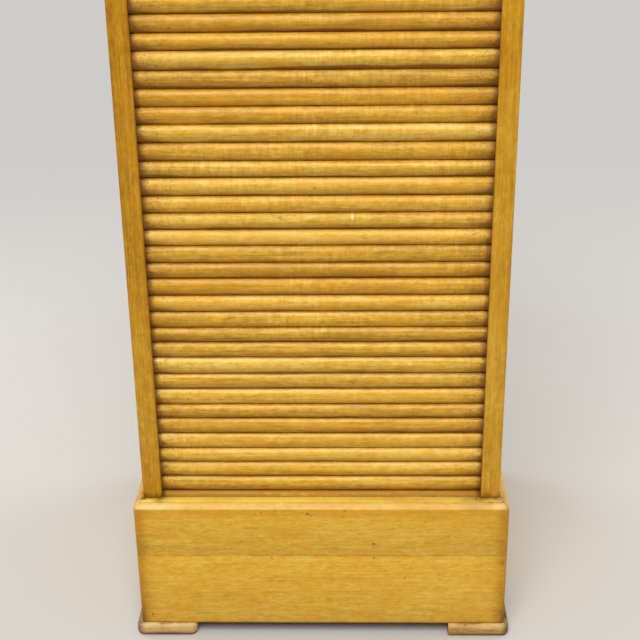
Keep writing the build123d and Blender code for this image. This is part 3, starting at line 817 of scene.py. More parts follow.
class Bench:
    """The hand operations that the pieces are shaped with."""

    @staticmethod
    def take(piece: bpy.types.Object) -> None:
        """Selects one piece alone and makes it the active one.

        Args:
            piece: The piece.
        """
        bpy.ops.object.select_all(action="DESELECT")
        piece.select_set(True)
        bpy.context.view_layer.objects.active = piece

    @staticmethod
    def named(name: str) -> bpy.types.Object:
        """Names the new primitive and puts its place into its mesh.

        Args:
            name: The piece's name.

        Returns:
            The piece.
        """
        piece = bpy.context.object
        piece.name = name
        bpy.ops.object.transform_apply(location=True, rotation=True, scale=True)
        return piece

    @staticmethod
    def block(name: str, low: Iterable[float], high: Iterable[float]) -> bpy.types.Object:
        """Adds a squared block.

        Args:
            name: The piece's name.
            low: Its lowest corner.
            high: Its highest corner.

        Returns:
            The piece.
        """
        low = Vector(low)
        high = Vector(high)
        bpy.ops.object.select_all(action="DESELECT")
        bpy.ops.mesh.primitive_cube_add(size=1.0, location=(low + high) / 2, scale=high - low)
        return Bench.named(name)

    @staticmethod
    def rod(
        name: str, middle: Iterable[float], radius: float, length: float, axis: Grain, sides: int = 48
    ) -> bpy.types.Object:
        """Adds a round rod.

        Args:
            name: The piece's name.
            middle: Its middle.
            radius: Its radius.
            length: Its length.
            axis: The axis that it lies along.
            sides: How many flats it is made of.

        Returns:
            The piece.
        """
        quarter = math.pi / 2
        turns = {Grain.ACROSS: (0, quarter, 0), Grain.DEEP: (quarter, 0, 0), Grain.UPRIGHT: (0, 0, 0)}
        bpy.ops.object.select_all(action="DESELECT")
        bpy.ops.mesh.primitive_cylinder_add(
            vertices=sides, radius=radius, depth=length, location=tuple(middle), rotation=turns[axis]
        )
        return Bench.named(name)

    @staticmethod
    def _open(piece: bpy.types.Object, mode: str) -> bmesh.types.BMesh:
        """Opens a piece for editing with nothing selected.

        Args:
            piece: The piece.
            mode: What is going to be selected, EDGE or FACE.

        Returns:
            The mesh that is edited.
        """
        Bench.take(piece)
        bpy.ops.object.mode_set(mode="EDIT")
        bpy.ops.mesh.select_mode(type=mode)
        bpy.ops.mesh.select_all(action="DESELECT")
        return bmesh.from_edit_mesh(piece.data)

    @staticmethod
    def edges(piece: bpy.types.Object, test: Test) -> None:
        """Opens a piece for editing with some edges selected.

        Args:
            piece: The piece.
            test: Chooses an edge by its two ends.
        """
        mesh = Bench._open(piece, "EDGE")
        for edge in mesh.edges:
            if test(edge.verts[0].co, edge.verts[1].co):
                edge.select_set(True)
        bmesh.update_edit_mesh(piece.data)

    @staticmethod
    def faces(piece: bpy.types.Object, test: Test) -> None:
        """Opens a piece for editing with some faces selected.

        Args:
            piece: The piece.
            test: Chooses a face by its middle and its normal.
        """
        mesh = Bench._open(piece, "FACE")
        for face in mesh.faces:
            if test(face.calc_center_median(), face.normal):
                face.select_set(True)
        bmesh.update_edit_mesh(piece.data)

    @staticmethod
    def facing(piece: bpy.types.Object, way: Vec) -> None:
        """Opens a piece for editing with the faces selected that face one way."""
        Bench.faces(piece, lambda middle, normal: normal.dot(Vector(way)) > SQUARE)

    @staticmethod
    def draw(move: Vec) -> None:
        """Draws the selected faces out."""
        bpy.ops.mesh.extrude_region_move(TRANSFORM_OT_translate={"value": move})

    @staticmethod
    def close() -> None:
        """Ends editing."""
        bpy.ops.object.mode_set(mode="OBJECT")

    @staticmethod
    def bevel(piece: bpy.types.Object, test: Test, width: float, cuts: int) -> None:
        """Planes off chosen edges.

        Args:
            piece: The piece.
            test: Chooses an edge by its two ends.
            width: How far the plane reaches on each face.
            cuts: 1 for a chamfer, more for a round.
        """
        Bench.edges(piece, test)
        bpy.ops.mesh.bevel(offset=width, segments=cuts, affect="EDGES", clamp_overlap=True)
        Bench.close()

    @staticmethod
    def refine(piece: bpy.types.Object, axis: Grain, cuts: int, least: float) -> None:
        """Divides the long edges that lie along an axis.

        Args:
            piece: The piece.
            axis: The axis.
            cuts: How many new rings there are.
            least: The shortest edge that is divided.
        """

        def lies_along(first: Vector, second: Vector) -> bool:
            """Tells whether an edge lies along the axis."""
            run = second - first
            return run.length > least and abs(run[axis.value]) > ALONG * run.length

        Bench.edges(piece, lies_along)
        bpy.ops.mesh.subdivide(number_cuts=cuts)
        Bench.close()

    @staticmethod
    def saw(piece: bpy.types.Object, point: Vec, normal: Vec) -> None:
        """Cuts off what lies on the normal's side of a plane, and closes the cut.

        Args:
            piece: The piece.
            point: A point on the plane.
            normal: The way that the plane faces.
        """
        Bench.faces(piece, lambda middle, facing: True)
        bpy.ops.mesh.bisect(plane_co=point, plane_no=normal, use_fill=True, clear_outer=True)
        Bench.close()

    @staticmethod
    def apply(piece: bpy.types.Object, kind: str, **settings: object) -> None:
        """Adds a modifier and applies it.

        Args:
            piece: The piece.
            kind: The modifier's type.
            settings: Its settings.
        """
        Bench.take(piece)
        modifier = piece.modifiers.new(kind.lower(), kind)
        for name, value in settings.items():
            setattr(modifier, name, value)
        bpy.ops.object.modifier_apply(modifier=modifier.name)

    @staticmethod
    def hollow(piece: bpy.types.Object, cutter: bpy.types.Object) -> None:
        """Cuts another shape out of a piece and throws it away."""
        Bench.apply(piece, "BOOLEAN", operation="DIFFERENCE", solver="EXACT", object=cutter)
        bpy.data.meshes.remove(cutter.data)

    @staticmethod
    def cut(piece: bpy.types.Object, low: Iterable[float], high: Iterable[float]) -> None:
        """Cuts a squared space, between two corners, out of a piece."""
        Bench.hollow(piece, Bench.block("waste", low, high))

    @staticmethod
    def tenons(rail: bpy.types.Object, shoulder_x: float, front_y: float, back_y: float) -> None:
        """Cuts a tenon on each end of a rail.

        Args:
            rail: The rail.
            shoulder_x: How far the shoulders are from the middle.
            front_y: The tenons' front.
            back_y: The tenons' back.
        """
        room = Vector((SPARE, SPARE, SPARE))
        low, high = Solids.corners([v.co for v in rail.data.vertices])
        low, high = low - room, high + room
        for sign in HANDS.values():
            ends = sorted((sign * shoulder_x, sign * high.x))
            for front, back in ((low.y, front_y), (back_y, high.y)):
                Bench.cut(rail, (ends[0], front, low.z), (ends[1], back, high.z))

    @staticmethod
    def round_corners(board: bpy.types.Object, mitre: float, width: float, cuts: int) -> None:
        """Rounds the upright corners where a board's front meets its sides.

        Args:
            board: The board.
            mitre: What the corners' place to the side and their depth add up to.
            width: How far the round reaches on each face.
            cuts: How many flats it is made of.
        """

        def on_corner(a: Vector, b: Vector) -> bool:
            """Tells whether an edge stands on a corner."""
            return all(abs(abs(p.x) + p.y - mitre) < NEAR for p in (a, b)) and abs(a.z - b.z) > NEAR

        Bench.bevel(board, on_corner, width, cuts)

    @staticmethod
    def sink(piece: bpy.types.Object, screws: str, radius: float = 0.0036, depth: float = 0.002) -> None:
        """Sinks a hole for each head of a set of screws that a piece takes.

        Args:
            piece: The piece.
            screws: The set's CAD node.
            radius: The holes' radius.
            depth: How deep they are.
        """
        low, high = Solids.corners([v.co for v in piece.data.vertices])
        for place, facing, _ in Solids.heads(screws):
            if all(low[k] - depth < place[k] < high[k] + depth for k in range(3)):
                axis = Grain(max(range(3), key=lambda k: abs(facing[k])))
                Bench.hollow(piece, Bench.rod("sink", place, radius, 2 * depth, axis, sides=32))

    @staticmethod
    def ease(piece: bpy.types.Object, width: float, cuts: int = 2) -> None:
        """Takes the sharpness off every edge, and shades the rounds smoothly.

        Args:
            piece: The piece.
            width: How far the rounds reach on each face.
            cuts: How many flats they are made of.
        """
        Bench.apply(
            piece,
            "BEVEL",
            width=width,
            segments=cuts,
            limit_method="ANGLE",
            angle_limit=SHARP,
            use_clamp_overlap=True,
        )
        Bench.smooth(piece)

    @staticmethod
    def smooth(piece: bpy.types.Object, angle: float = 32.0) -> None:
        """Shades smoothly over edges flatter than an angle in degrees."""
        Bench.take(piece)
        bpy.ops.object.shade_smooth_by_angle(angle=math.radians(angle))

    @staticmethod
    def uneven(piece: bpy.types.Object, depth: float, size: float, group: str = "") -> None:
        """Makes a surface uneven, as by long use.

        Args:
            piece: The piece.
            depth: How far it rises and falls in all.
            size: How far apart the rises are.
            group: The points that move, or all.
        """
        hollows = bpy.data.textures.new("hollows", "CLOUDS")
        hollows.noise_scale = size
        Bench.apply(
            piece,
            "DISPLACE",
            texture=hollows,
            texture_coords="LOCAL",
            strength=depth,
            mid_level=0.5,
            vertex_group=group,
        )
        bpy.data.textures.remove(hollows)

    @staticmethod
    def copy(piece: bpy.types.Object, name: str) -> bpy.types.Object:
        """Copies a piece with a mesh of its own.

        Args:
            piece: The piece, or a CAD node.
            name: The copy's name.

        Returns:
            The copy.
        """
        double = bpy.data.objects.new(name, piece.data.copy())
        bpy.context.scene.collection.objects.link(double)
        return double

    @staticmethod
    def join(pieces: list[bpy.types.Object], name: str) -> bpy.types.Object:
        """Joins pieces to one.

        Args:
            pieces: The pieces.
            name: The name of the one.

        Returns:
            The joined piece.
        """
        Bench.take(pieces[0])
        for piece in pieces:
            piece.select_set(True)
        if len(pieces) > 1:
            bpy.ops.object.join()
        pieces[0].name = name
        return pieces[0]

    @staticmethod
    def put(piece: bpy.types.Object, move: Vec, turn: Vec = (0, 0, 0), size: Vec = (1, 1, 1)) -> None:
        """Moves, turns and sizes a piece, and puts that into its mesh.

        Args:
            piece: The piece.
            move: Its new place.
            turn: Its turn about each axis, in radians.
            size: What its size is multiplied by along each axis.
        """
        Bench.take(piece)
        piece.location = move
        piece.rotation_euler = turn
        piece.scale = size
        bpy.ops.object.transform_apply(location=True, rotation=True, scale=True)

    @staticmethod
    def settle(
        piece: bpy.types.Object, finish: bpy.types.Material, body: str, slot: str, *nodes: str
    ) -> None:
        """Gives a finished piece its material and its body, hides the CAD nodes that it stands for and
        logs its slot.

        Args:
            piece: The piece.
            finish: Its material.
            body: The body that it rides on.
            slot: The record's material slot.
            nodes: The CAD nodes that it stands for, which are hidden.
        """
        piece.data.materials.clear()
        piece.data.materials.append(finish)
        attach(piece, body)
        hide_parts(*nodes)
        LOG.info("%s: %s, rides on %s", piece.name, slot, body)


class Solids:
    """What is read from the CAD nodes: their boxes, the solids of a set, and the heads of screws."""

    @staticmethod
    def parts(node: str) -> list[list[Vector]]:
        """Lists the points of each separate solid in a node.

        Args:
            node: The CAD node.

        Returns:
            One list of points for each solid, from left to right, front to back and upwards.
        """
        mesh = bmesh.new()
        mesh.from_mesh(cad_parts[node].data)
        bmesh.ops.remove_doubles(mesh, verts=mesh.verts, dist=NEAR / 10)
        left = set(mesh.verts)
        found = []
        while left:
            front = [left.pop()]
            solid = []
            while front:
                point = front.pop()
                solid.append(point.co.copy())
                near = {end for edge in point.link_edges for end in edge.verts} & left
                left -= near
                front.extend(near)
            found.append(solid)
        mesh.free()
        return sorted(found, key=lambda solid: [round(n, 4) for n in Solids.corners(solid)[0]])

    @staticmethod
    def corners(points: list[Vector]) -> tuple[Vector, Vector]:
        """Gives the lowest and the highest corner of some points."""
        return Vector(map(min, zip(*points))), Vector(map(max, zip(*points)))

    @staticmethod
    def box(node: str) -> tuple[Vector, Vector]:
        """Gives the lowest and the highest corner of a node."""
        low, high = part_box(node)
        return Vector(low), Vector(high)

    @staticmethod
    def heads(node: str) -> list[tuple[Vector, Vector, float]]:
        """Finds the heads in a set of screws.

        Args:
            node: The CAD node.

        Returns:
            For each screw the middle of its head, the way that it faces, and the screw's length.
        """
        found = []
        for points in Solids.parts(node):
            low, high = Solids.corners(points)
            size = high - low
            place = (low + high) / 2
            axis = min(range(3), key=lambda k: abs(size[k - 1] - size[k - 2]))
            reach = [math.hypot(*((p - place)[axis - k] for k in (1, 2))) for p in points]
            rim = [p[axis] for p, out in zip(points, reach) if out > RIM * max(reach)]
            ahead = sum(rim) / len(rim) > place[axis]
            facing = Vector((0, 0, 0))
            facing[axis] = 1 if ahead else -1
            place[axis] = high[axis] if ahead else low[axis]
            found.append((place, facing, size[axis]))
        return found


class Head(Enum):
    """The kinds of screw head: the head's radius, the shank's radius and the head's depth."""

    SUNK = (0.0035, 0.00175, 0.00175)
    CHEESE = (0.0045, 0.00225, 0.0025)
    WASHER = (0.00612, 0.00175, 0.00175)


@dataclass(frozen=True)
class Screw:
    """A slotted screw of one kind and length."""

    head: Head
    length: float
    tip: float = 0.004
    point: float = 0.15
    rim: float = 0.00025
    slot: float = 0.0009
    sides: int = 24

    @staticmethod
    def draw(rise: float, share: float) -> None:
        """Draws the selected end out by a rise, and to a share of its width."""
        Bench.draw((0, 0, rise))
        bpy.ops.transform.resize(value=(share, share, 1.0))

    def master(self) -> bpy.types.Object:
        """Shapes the screw from a rod: tip drawn in, head drawn out, slot sawn.

        Returns:
            The screw, standing head up with the middle of its face at the origin.
        """
        radius, shank, depth = self.head.value
        stem = self.length - depth - self.tip
        middle = (0, 0, -depth - stem / 2)
        screw = Bench.rod("screw_master", middle, shank, stem, Grain.UPRIGHT, self.sides)
        Bench.facing(screw, (0, 0, -1))
        self.draw(-self.tip, self.point)
        Bench.close()
        Bench.facing(screw, (0, 0, 1))
        if self.head is Head.SUNK:
            self.draw(depth, radius / shank)
        else:
            self.draw(0.0, radius / shank)
            self.draw(depth, 1.0)
        Bench.close()
        Bench.bevel(screw, lambda a, b: min(a.z, b.z) > -NEAR, self.rim, cuts=2)
        wide = self.slot * radius / Head.SUNK.value[0]
        Bench.cut(screw, (-2 * radius, -wide / 2, -depth / 2), (2 * radius, wide / 2, radius))
        Bench.smooth(screw)
        return screw


class Palette(Enum):
    """The colours of each wood as they show on a screen: deep, middle, pale and warm."""

    AMBER = ((160, 104, 4), (200, 146, 24), (226, 176, 58), (194, 130, 10))
    HONEY = ((194, 138, 30), (222, 174, 56), (240, 202, 98), (222, 156, 30))
    STRAW = ((186, 134, 28), (224, 175, 56), (247, 208, 104), (230, 162, 28))
    INNER = ((182, 138, 66), (214, 174, 98), (232, 200, 130), (210, 160, 78))
    BARE = ((158, 118, 58), (204, 168, 106), (228, 198, 140), (192, 146, 78))

    def colours(self) -> dict[str, Colour]:
        """Names the colours for a finish."""
        names = ("deep", "middle", "pale", "warm")
        return {name: shade(*levels) for name, levels in zip(names, self.value)}


BROWN = shade(112, 60, 12)
SLAT_MARKS = (
    Mark(0.0391, 0.5509, 0.0014, 0.0034, shade(250, 232, 184), 0.95),
    Mark(-0.1887, 0.2310, 0.004, 0.003, shade(96, 46, 22), 0.6),
    Mark(-0.0022, 0.5854, 0.0016, 0.0014, BROWN, 0.7),
    Mark(-0.0414, 0.5503, 0.0032, 0.0016, BROWN, 0.5),
    Mark(-0.0050, 0.5466, 0.0060, 0.0022, shade(188, 126, 20), 0.6),
    Mark(0.0329, 0.5405, 0.0014, 0.0014, BROWN, 0.7),
)
NAIL_HOLES = (
    Mark(0.0647, 0.1351, 0.0017, 0.0019),
    Mark(0.0648, 0.1147, 0.0015, 0.0015),
    Mark(-0.2141, 0.0298, 0.0016, 0.0014),
    Mark(-0.2149, 0.1303, 0.0012, 0.0012),
    Mark(-0.0162, 0.1781, 0.0021, 0.0019),
)
STAINS = (
    Mark(-0.0121, 0.1757, 0.0012, 0.0010, BROWN, 0.7),
    Mark(-0.0727, 0.1801, 0.0014, 0.0010, BROWN, 0.7),
    Mark(-0.0555, 0.1823, 0.0030, 0.0009, BROWN, 0.6),
    Mark(-0.0343, 0.1641, 0.0020, 0.0009, BROWN, 0.5),
    Mark(-0.0614, 0.1144, 0.0014, 0.0030, BROWN, 0.4),
    Mark(0.0291, 0.1824, 0.0018, 0.0010, BROWN, 0.8),
    Mark(0.0271, 0.1745, 0.0018, 0.0014, BROWN, 0.5),
    Mark(0.1030, 0.0852, 0.0018, 0.0016, BROWN, 0.5),
    Mark(0.2231, 0.1077, 0.0016, 0.003, shade(120, 62, 20), 0.5),
    Mark(-0.2262, 0.0270, 0.0036, 0.0140, BROWN, 0.55, 1.2),
    Mark(0.2266, 0.0280, 0.0028, 0.0160, BROWN, 0.45, 1.2),
)
EDGE_WEAR = (
    Mark(0.0, 0.1868, 2.0, 0.0030, shade(238, 202, 136), 0.18),
    Mark(-0.2020, 0.1862, 0.0300, 0.0034, shade(252, 222, 162), 0.45),
    Mark(0.1860, 0.1880, 0.0190, 0.0040, shade(190, 146, 88), 0.5),
    Mark(0.2170, 0.1872, 0.0110, 0.0030, shade(244, 208, 158), 0.55),
)
LEDGE_CRUMBS = (
    Mark(-0.1980, 0.1911, 0.0240, 0.0016, shade(78, 42, 12), 1.0, 2.2),
    Mark(0.1960, 0.1910, 0.0240, 0.0022, shade(78, 44, 14), 1.0, 2.2),
)
FOOT_MARKS = (
    Mark(-0.2350, 0.0090, 0.0095, 0.0300, shade(92, 50, 22), 0.75),
    Mark(-0.1980, 0.0015, 0.0450, 0.0062, shade(104, 58, 26), 0.75),
    Mark(0.2350, 0.0090, 0.0090, 0.0300, shade(74, 50, 22), 0.75),
)


@dataclass
class Finishes:
    """Every finish of the cabinet, made once."""

    def __post_init__(self) -> None:
        """Makes the materials."""
        amber, honey, straw, inner, bare = (palette.colours() for palette in Palette)
        thin = {**inner, "varnish": 0.05, "roughness": 0.55, "figure": 0.5, "streak": 0.7, "fleck": 0.45}
        dull = {**bare, "varnish": 0.03, "roughness": 0.62}
        slat = {**straw, "figure": 0.6, "streak": 0.7, "fleck": 0.55, "mottle": 0.5, "ripple": 0.55}
        slat = {**slat, "pores": 0.26, "warmth": 0.3, "roughness": 0.36, "shine": 0.45}
        stile = {**amber, "figure": 0.6, "streak": 0.6, "fleck": 0.4, "mottle": 0.45, "pores": 0.3}
        front = {**honey, "figure": 0.22, "streak": 0.4, "fleck": 0.5, "mottle": 0.35, "cloud": 0.14}
        # The colour of the painted highlight and reflection on the plinth's ledge.
        front = {**front, "painted_highlight": shade(255, 220, 98)}
        veneer = {"lean": 0.08, "drift": 0.03, "width": 0.014, "strength": 0.24}
        side_rings = Rings(across=Y, start=-0.190, board=0.100, through=X, face=0.2175, quiet_y=-0.1885)
        top_rings = Rings(across=Y, start=-0.205, board=0.1385, through=Z, face=1.2)
        shelf_rings = Rings(across=Y, start=-0.144, board=0.149, level=40.0)
        panel_rings = Rings(across=X, start=-0.2085, board=0.2085, through=Y, face=0.21, **veneer)
        front_marks = NAIL_HOLES + STAINS + EDGE_WEAR + LEDGE_CRUMBS
        self.slat = SlatWood("slat_varnish", Grain.ACROSS, **slat, marks=SLAT_MARKS).material()
        self.stile = StileWood("side_varnish", Grain.UPRIGHT, **stile, rings=side_rings).material()
        self.rail = Wood("rail_varnish", Grain.ACROSS, **amber).material()
        self.top = Wood("top_varnish", Grain.ACROSS, **honey, rings=top_rings).material()
        self.plinth = PlinthWood("plinth_varnish", Grain.ACROSS, **front, marks=front_marks).material()
        self.plinth_rear = PlinthWood("plinth_rear_varnish", Grain.ACROSS, **front).material()
        self.plinth_side = PlinthWood("plinth_side_varnish", Grain.DEEP, **honey).material()
        self.foot = FootWood("foot_worn", Grain.ACROSS, **dull, marks=FOOT_MARKS).material()
        self.shelf = Wood("shelf_thin_varnish", Grain.ACROSS, **thin, rings=shelf_rings).material()
        self.panel = Wood("panel_thin_varnish", Grain.UPRIGHT, **thin, rings=panel_rings).material()
        self.cleat = Wood("cleat_plain", Grain.DEEP, **thin).material()
        self.canvas = Cloth().material()
        self.brass = Metal("brass_dulled", shade(214, 178, 102), shade(132, 98, 48)).material()
        self.steel = Metal("steel_dulled", shade(176, 172, 166), shade(104, 96, 88), 0.4).material()


@dataclass
class Tambour:
    """The slatted front: slats on canvas, which gathers under the lead rail as it drops."""

    finishes: Finishes
    count: int = 47
    pitch: float = 0.020
    gap: float = 0.0005
    length: float = 0.403
    rise: float = 0.006
    flank: float = 0.0025
    arris: float = 0.0007
    sides: int = 80
    rings: int = 23
    long: float = 0.1
    back_y: float = -0.17525
    top_z: float = 1.096
    gathered: float = 0.01
    ledge_z: float = 0.191
    shaded: float = 0.2
    dulled: float = 0.32
    faded: float = 0.4
    jitter: float = 0.001
    tilt: float = 0.0008
    waves: float = 0.0010
    wave_size: float = 0.06
    crowns: Span = (0.94, 1.03)
    tones: Span = (-0.17, 0.19)
    warmths: Span = (-0.15, 0.35)
    shade_and_soil_strengths: Span = (0.3, 1.4)
    glosses: Span = (-0.06, 0.1)
    canvas_columns: int = 24
    seed: int = 20

    def master(self) -> bpy.types.Object:
        """Shapes one slat from a rod: the back sawn off, flanks drawn out, edges eased.

        Returns:
            The slat, lying along X with its back in the XZ plane.
        """
        half = (self.pitch - self.gap) / 2
        radius = (half**2 + self.rise**2) / (2 * self.rise)
        middle_y = radius - self.rise - self.flank
        slat = Bench.rod("slat_master", (0, middle_y, 0), radius, self.length, Grain.ACROSS, self.sides)
        Bench.saw(slat, (0, -self.flank, 0), (0, 1, 0))
        Bench.facing(slat, (0, 1, 0))
        Bench.draw((0, self.flank, 0))
        Bench.close()

        def on_flank(a: Vector, b: Vector) -> bool:
            """Tells whether an edge runs along the slat where the round meets a flank."""
            return all(abs(p.y + self.flank) < NEAR for p in (a, b)) and abs(a.x - b.x) > NEAR

        Bench.bevel(slat, on_flank, self.arris, cuts=3)
        Bench.refine(slat, Grain.ACROSS, self.rings, self.long)
        crown = slat.vertex_groups.new(name="crown")
        crown.add([v.index for v in slat.data.vertices if v.co.y < -self.flank / 2], 1.0, "REPLACE")
        across = slat.data.attributes.new("across", "FLOAT", "POINT")
        across.data.foreach_set("value", [0.5 + v.co.z / (2 * half) for v in slat.data.vertices])
        return slat

    def build(self) -> None:
        """Builds the slats and the canvas, each with a mesh of its own."""
        chance = random.Random(self.seed)
        master = self.master()
        stray = [chance.uniform(-self.jitter, self.jitter) for k in range(self.count + 1)]
        seams = [self.top_z - k * self.pitch + stray[k] for k in range(self.count + 1)]
        seams[0] = self.top_z
        seams[-1] = self.top_z - self.count * self.pitch
        for number, (upper, lower) in enumerate(zip(seams, seams[1:]), start=1):
            self.slat(Bench.copy(master, f"slat_{number:02d}"), upper, lower, chance)
        bpy.data.meshes.remove(master.data)
        self.canvas()

    def slat(self, slat: bpy.types.Object, upper: float, lower: float, chance: random.Random) -> None:
        """Fits one slat between two seams and makes it a little different from the others.

        Args:
            slat: A copy of the first slat.
            upper: The height of the seam above it.
            lower: The height of the seam below it.
            chance: What the differences are drawn from.
        """
        height = (upper - lower - self.gap) / (self.pitch - self.gap)
        crown = chance.uniform(*self.crowns)
        tilt = chance.uniform(-self.tilt, self.tilt)
        Bench.put(slat, (0, self.back_y, (upper + lower) / 2), (0, tilt, 0), (1, crown, height))
        Bench.uneven(slat, self.waves, self.wave_size, "crown")
        Bench.smooth(slat, 40)
        hidden = lower < self.ledge_z
        own = {
            "tone": chance.uniform(*self.tones) - self.shaded * hidden,
            "warmth": chance.uniform(*self.warmths) - self.faded * hidden,
            # Strength of the painted shade on the slat's lower half and of the dirt and painted shade by
            # its lower gap.
            "soil": chance.uniform(*self.shade_and_soil_strengths),
            "gloss": chance.uniform(*self.glosses) - self.dulled * hidden,
        }
        for name, value in own.items():
            points = slat.data.attributes.new(name, "FLOAT", "POINT")
            points.data.foreach_set("value", [value] * len(slat.data.vertices))
        Bench.settle(slat, self.finishes.slat, "tambour", "slat_wood", "tambour_slats")
        self.gather(slat)

    def gather(self, piece: bpy.types.Object) -> None:
        """Gives a piece a mesh of its own."""
        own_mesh(piece)

    def canvas(self) -> None:
        """Hangs the canvas that the slats are glued to."""
        low, high = Solids.box("canvas_backing")
        size = high - low
        bpy.ops.object.select_all(action="DESELECT")
        bpy.ops.mesh.primitive_grid_add(
            x_subdivisions=self.canvas_columns,
            y_subdivisions=self.count * 2,
            size=1.0,
            location=(0, high.y, (low.z + high.z) / 2),
            rotation=(math.pi / 2, 0, 0),
        )
        bpy.context.object.scale = (size.x, size.z, 1)
        sheet = Bench.named("canvas_sheet")
        Bench.apply(sheet, "SOLIDIFY", thickness=size.y, offset=-1.0)
        Bench.smooth(sheet)
        Bench.settle(sheet, self.finishes.canvas, "tambour", "canvas", "canvas_backing")
        self.gather(sheet)


@dataclass
class LeadRail:
    """The rail at the top of the slats, with its pull."""

    finishes: Finishes
    tongue_front_y: float = -0.18375
    tongue_back_y: float = -0.17525
    shoulder_x: float = 0.1939
    batten_top_z: float = 1.108
    lock_z: float = 1.128
    barrel: float = 0.00905
    cove: float = 0.0045
    cove_setback: float = 0.0003
    round: float = 0.004
    rail_ease: float = 0.0009
    ease: float = 0.0006

    def build(self) -> None:
        """Builds the rail, the batten that holds the canvas to it, and the pull."""
        self.rail()
        batten = Bench.block("canvas_strip", *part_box("canvas_batten"))
        Bench.ease(batten, self.ease)
        Bench.settle(batten, self.finishes.cleat, "tambour", "inner_wood", "canvas_batten")
        self.pull()

    def rail(self) -> None:
        """Cuts the tongues, the batten's seat and the lock's hole from a block."""
        low, high = Solids.box("lead_rail")
        rail = Bench.block("lead_rail_board", low, high)
        Bench.tenons(rail, self.shoulder_x, self.tongue_front_y, self.tongue_back_y)
        Bench.cut(
            rail,
            (low.x - SPARE, self.tongue_back_y, low.z - SPARE),
            (high.x + SPARE, high.y + SPARE, self.batten_top_z),
        )
        middle = (0, (low.y + high.y) / 2, self.lock_z)
        Bench.hollow(rail, Bench.rod("hole", middle, self.barrel, THROUGH, Grain.DEEP))
        Bench.ease(rail, self.rail_ease, cuts=3)
        Bench.settle(rail, self.finishes.rail, "tambour", "case_wood", "lead_rail")

    def pull(self) -> None:
        """Runs a cove under a block, rounds it and sinks its screws."""
        low, high = Solids.box("pull_moulding")
        pull = Bench.block("pull_bar", low, high)
        Bench.bevel(
            pull,
            lambda a, b: max(a.y, b.y) < low.y + NEAR and min(a.z, b.z) > high.z - NEAR,
            self.round,
            cuts=6,
        )
        middle = (0, (low.y + high.y) / 2 + self.cove_setback, low.z)
        Bench.hollow(pull, Bench.rod("cove", middle, self.cove, THROUGH, Grain.ACROSS))
        Bench.sink(pull, "pull_screws")
        Bench.ease(pull, self.ease)
        Bench.settle(pull, self.finishes.rail, "tambour", "case_wood", "pull_moulding")


@dataclass
class Case:
    """The two sides, the top, its front rail and the back."""

    finishes: Finishes
    arris: float = 0.0018
    ease: float = 0.0006
    groove: float = 0.008
    front_groove: Span = (-0.1845, -0.1745)
    rear_groove: Span = (0.175, 0.185)
    rear_groove_top: float = 0.5936
    rebate_y: float = 0.202
    lip: float = 0.009
    chamfer: float = 0.007
    corner: float = 0.0035
    clear: float = 0.00005

    def build(self) -> None:
        """Builds the case from its sides to its back."""
        for hand, sign in HANDS.items():
            self.side(hand, sign)
        self.top()
        self.front_rail()
        self.back()

    def side(self, hand: str, sign: int) -> None:
        """Grooves and rebates one side board, and rounds its front edges.

        Args:
            hand: left or right.
            sign: -1 for the left, 1 for the right.
        """
        low, high = Solids.box(f"{hand}_side")
        board = Bench.block(f"side_{hand}", low, high)
        Bench.bevel(
            board,
            lambda a, b: max(a.y, b.y) < low.y + NEAR and abs(a.z - b.z) > NEAR,
            self.arris,
            cuts=4,
        )
        inner, outer = (low.x, high.x) if sign > 0 else (high.x, low.x)
        runs = [
            (inner + sign * self.groove, *self.front_groove, high.z + SPARE),
            (inner + sign * self.groove, *self.rear_groove, self.rear_groove_top),
            (outer - sign * self.lip, self.rebate_y, high.y + SPARE, high.z + SPARE),
        ]
        for depth_x, front_y, back_y, top_z in runs:
            ends = sorted((inner - sign * SPARE, depth_x))
            Bench.cut(board, (ends[0], front_y, low.z - SPARE), (ends[1], back_y, top_z))
        Bench.ease(board, self.ease)
        Bench.settle(board, self.finishes.stile, "case", "case_wood", f"{hand}_side")

    def top(self) -> None:
        """Chamfers the top board's rim and rounds its front corners."""
        low, high = Solids.box("top_board")
        board = Bench.block("top_plank", low, high)

        def on_rim(a: Vector, b: Vector) -> bool:
            """Tells whether an edge is on the upper rim, front or sides."""
            return min(a.z, b.z) > high.z - NEAR and min(a.y, b.y) <= high.y - NEAR

        Bench.bevel(board, on_rim, self.chamfer, cuts=1)
        Bench.round_corners(board, high.x + low.y, self.corner, cuts=4)
        Bench.ease(board, self.ease)
        Bench.settle(board, self.finishes.top, "case", "case_wood", "top_board")

    def front_rail(self) -> None:
        """Cuts the tenons of the rail under the top."""
        rail = Bench.block("head_rail", *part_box("top_front_rail"))
        front, back = self.front_groove
        Bench.tenons(rail, Solids.box("right_side")[0].x, front + self.clear, back - self.clear)
        Bench.ease(rail, self.ease)
        Bench.settle(rail, self.finishes.rail, "case", "case_wood", "top_front_rail")

    def back(self) -> None:
        """Cuts the back from a thin panel and sinks its screws."""
        panel = Bench.block("back_sheet", *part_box("back_panel"))
        Bench.sink(panel, "back_screws")
        Bench.ease(panel, self.ease, cuts=1)
        Bench.settle(panel, self.finishes.panel, "case", "inner_wood", "back_panel")


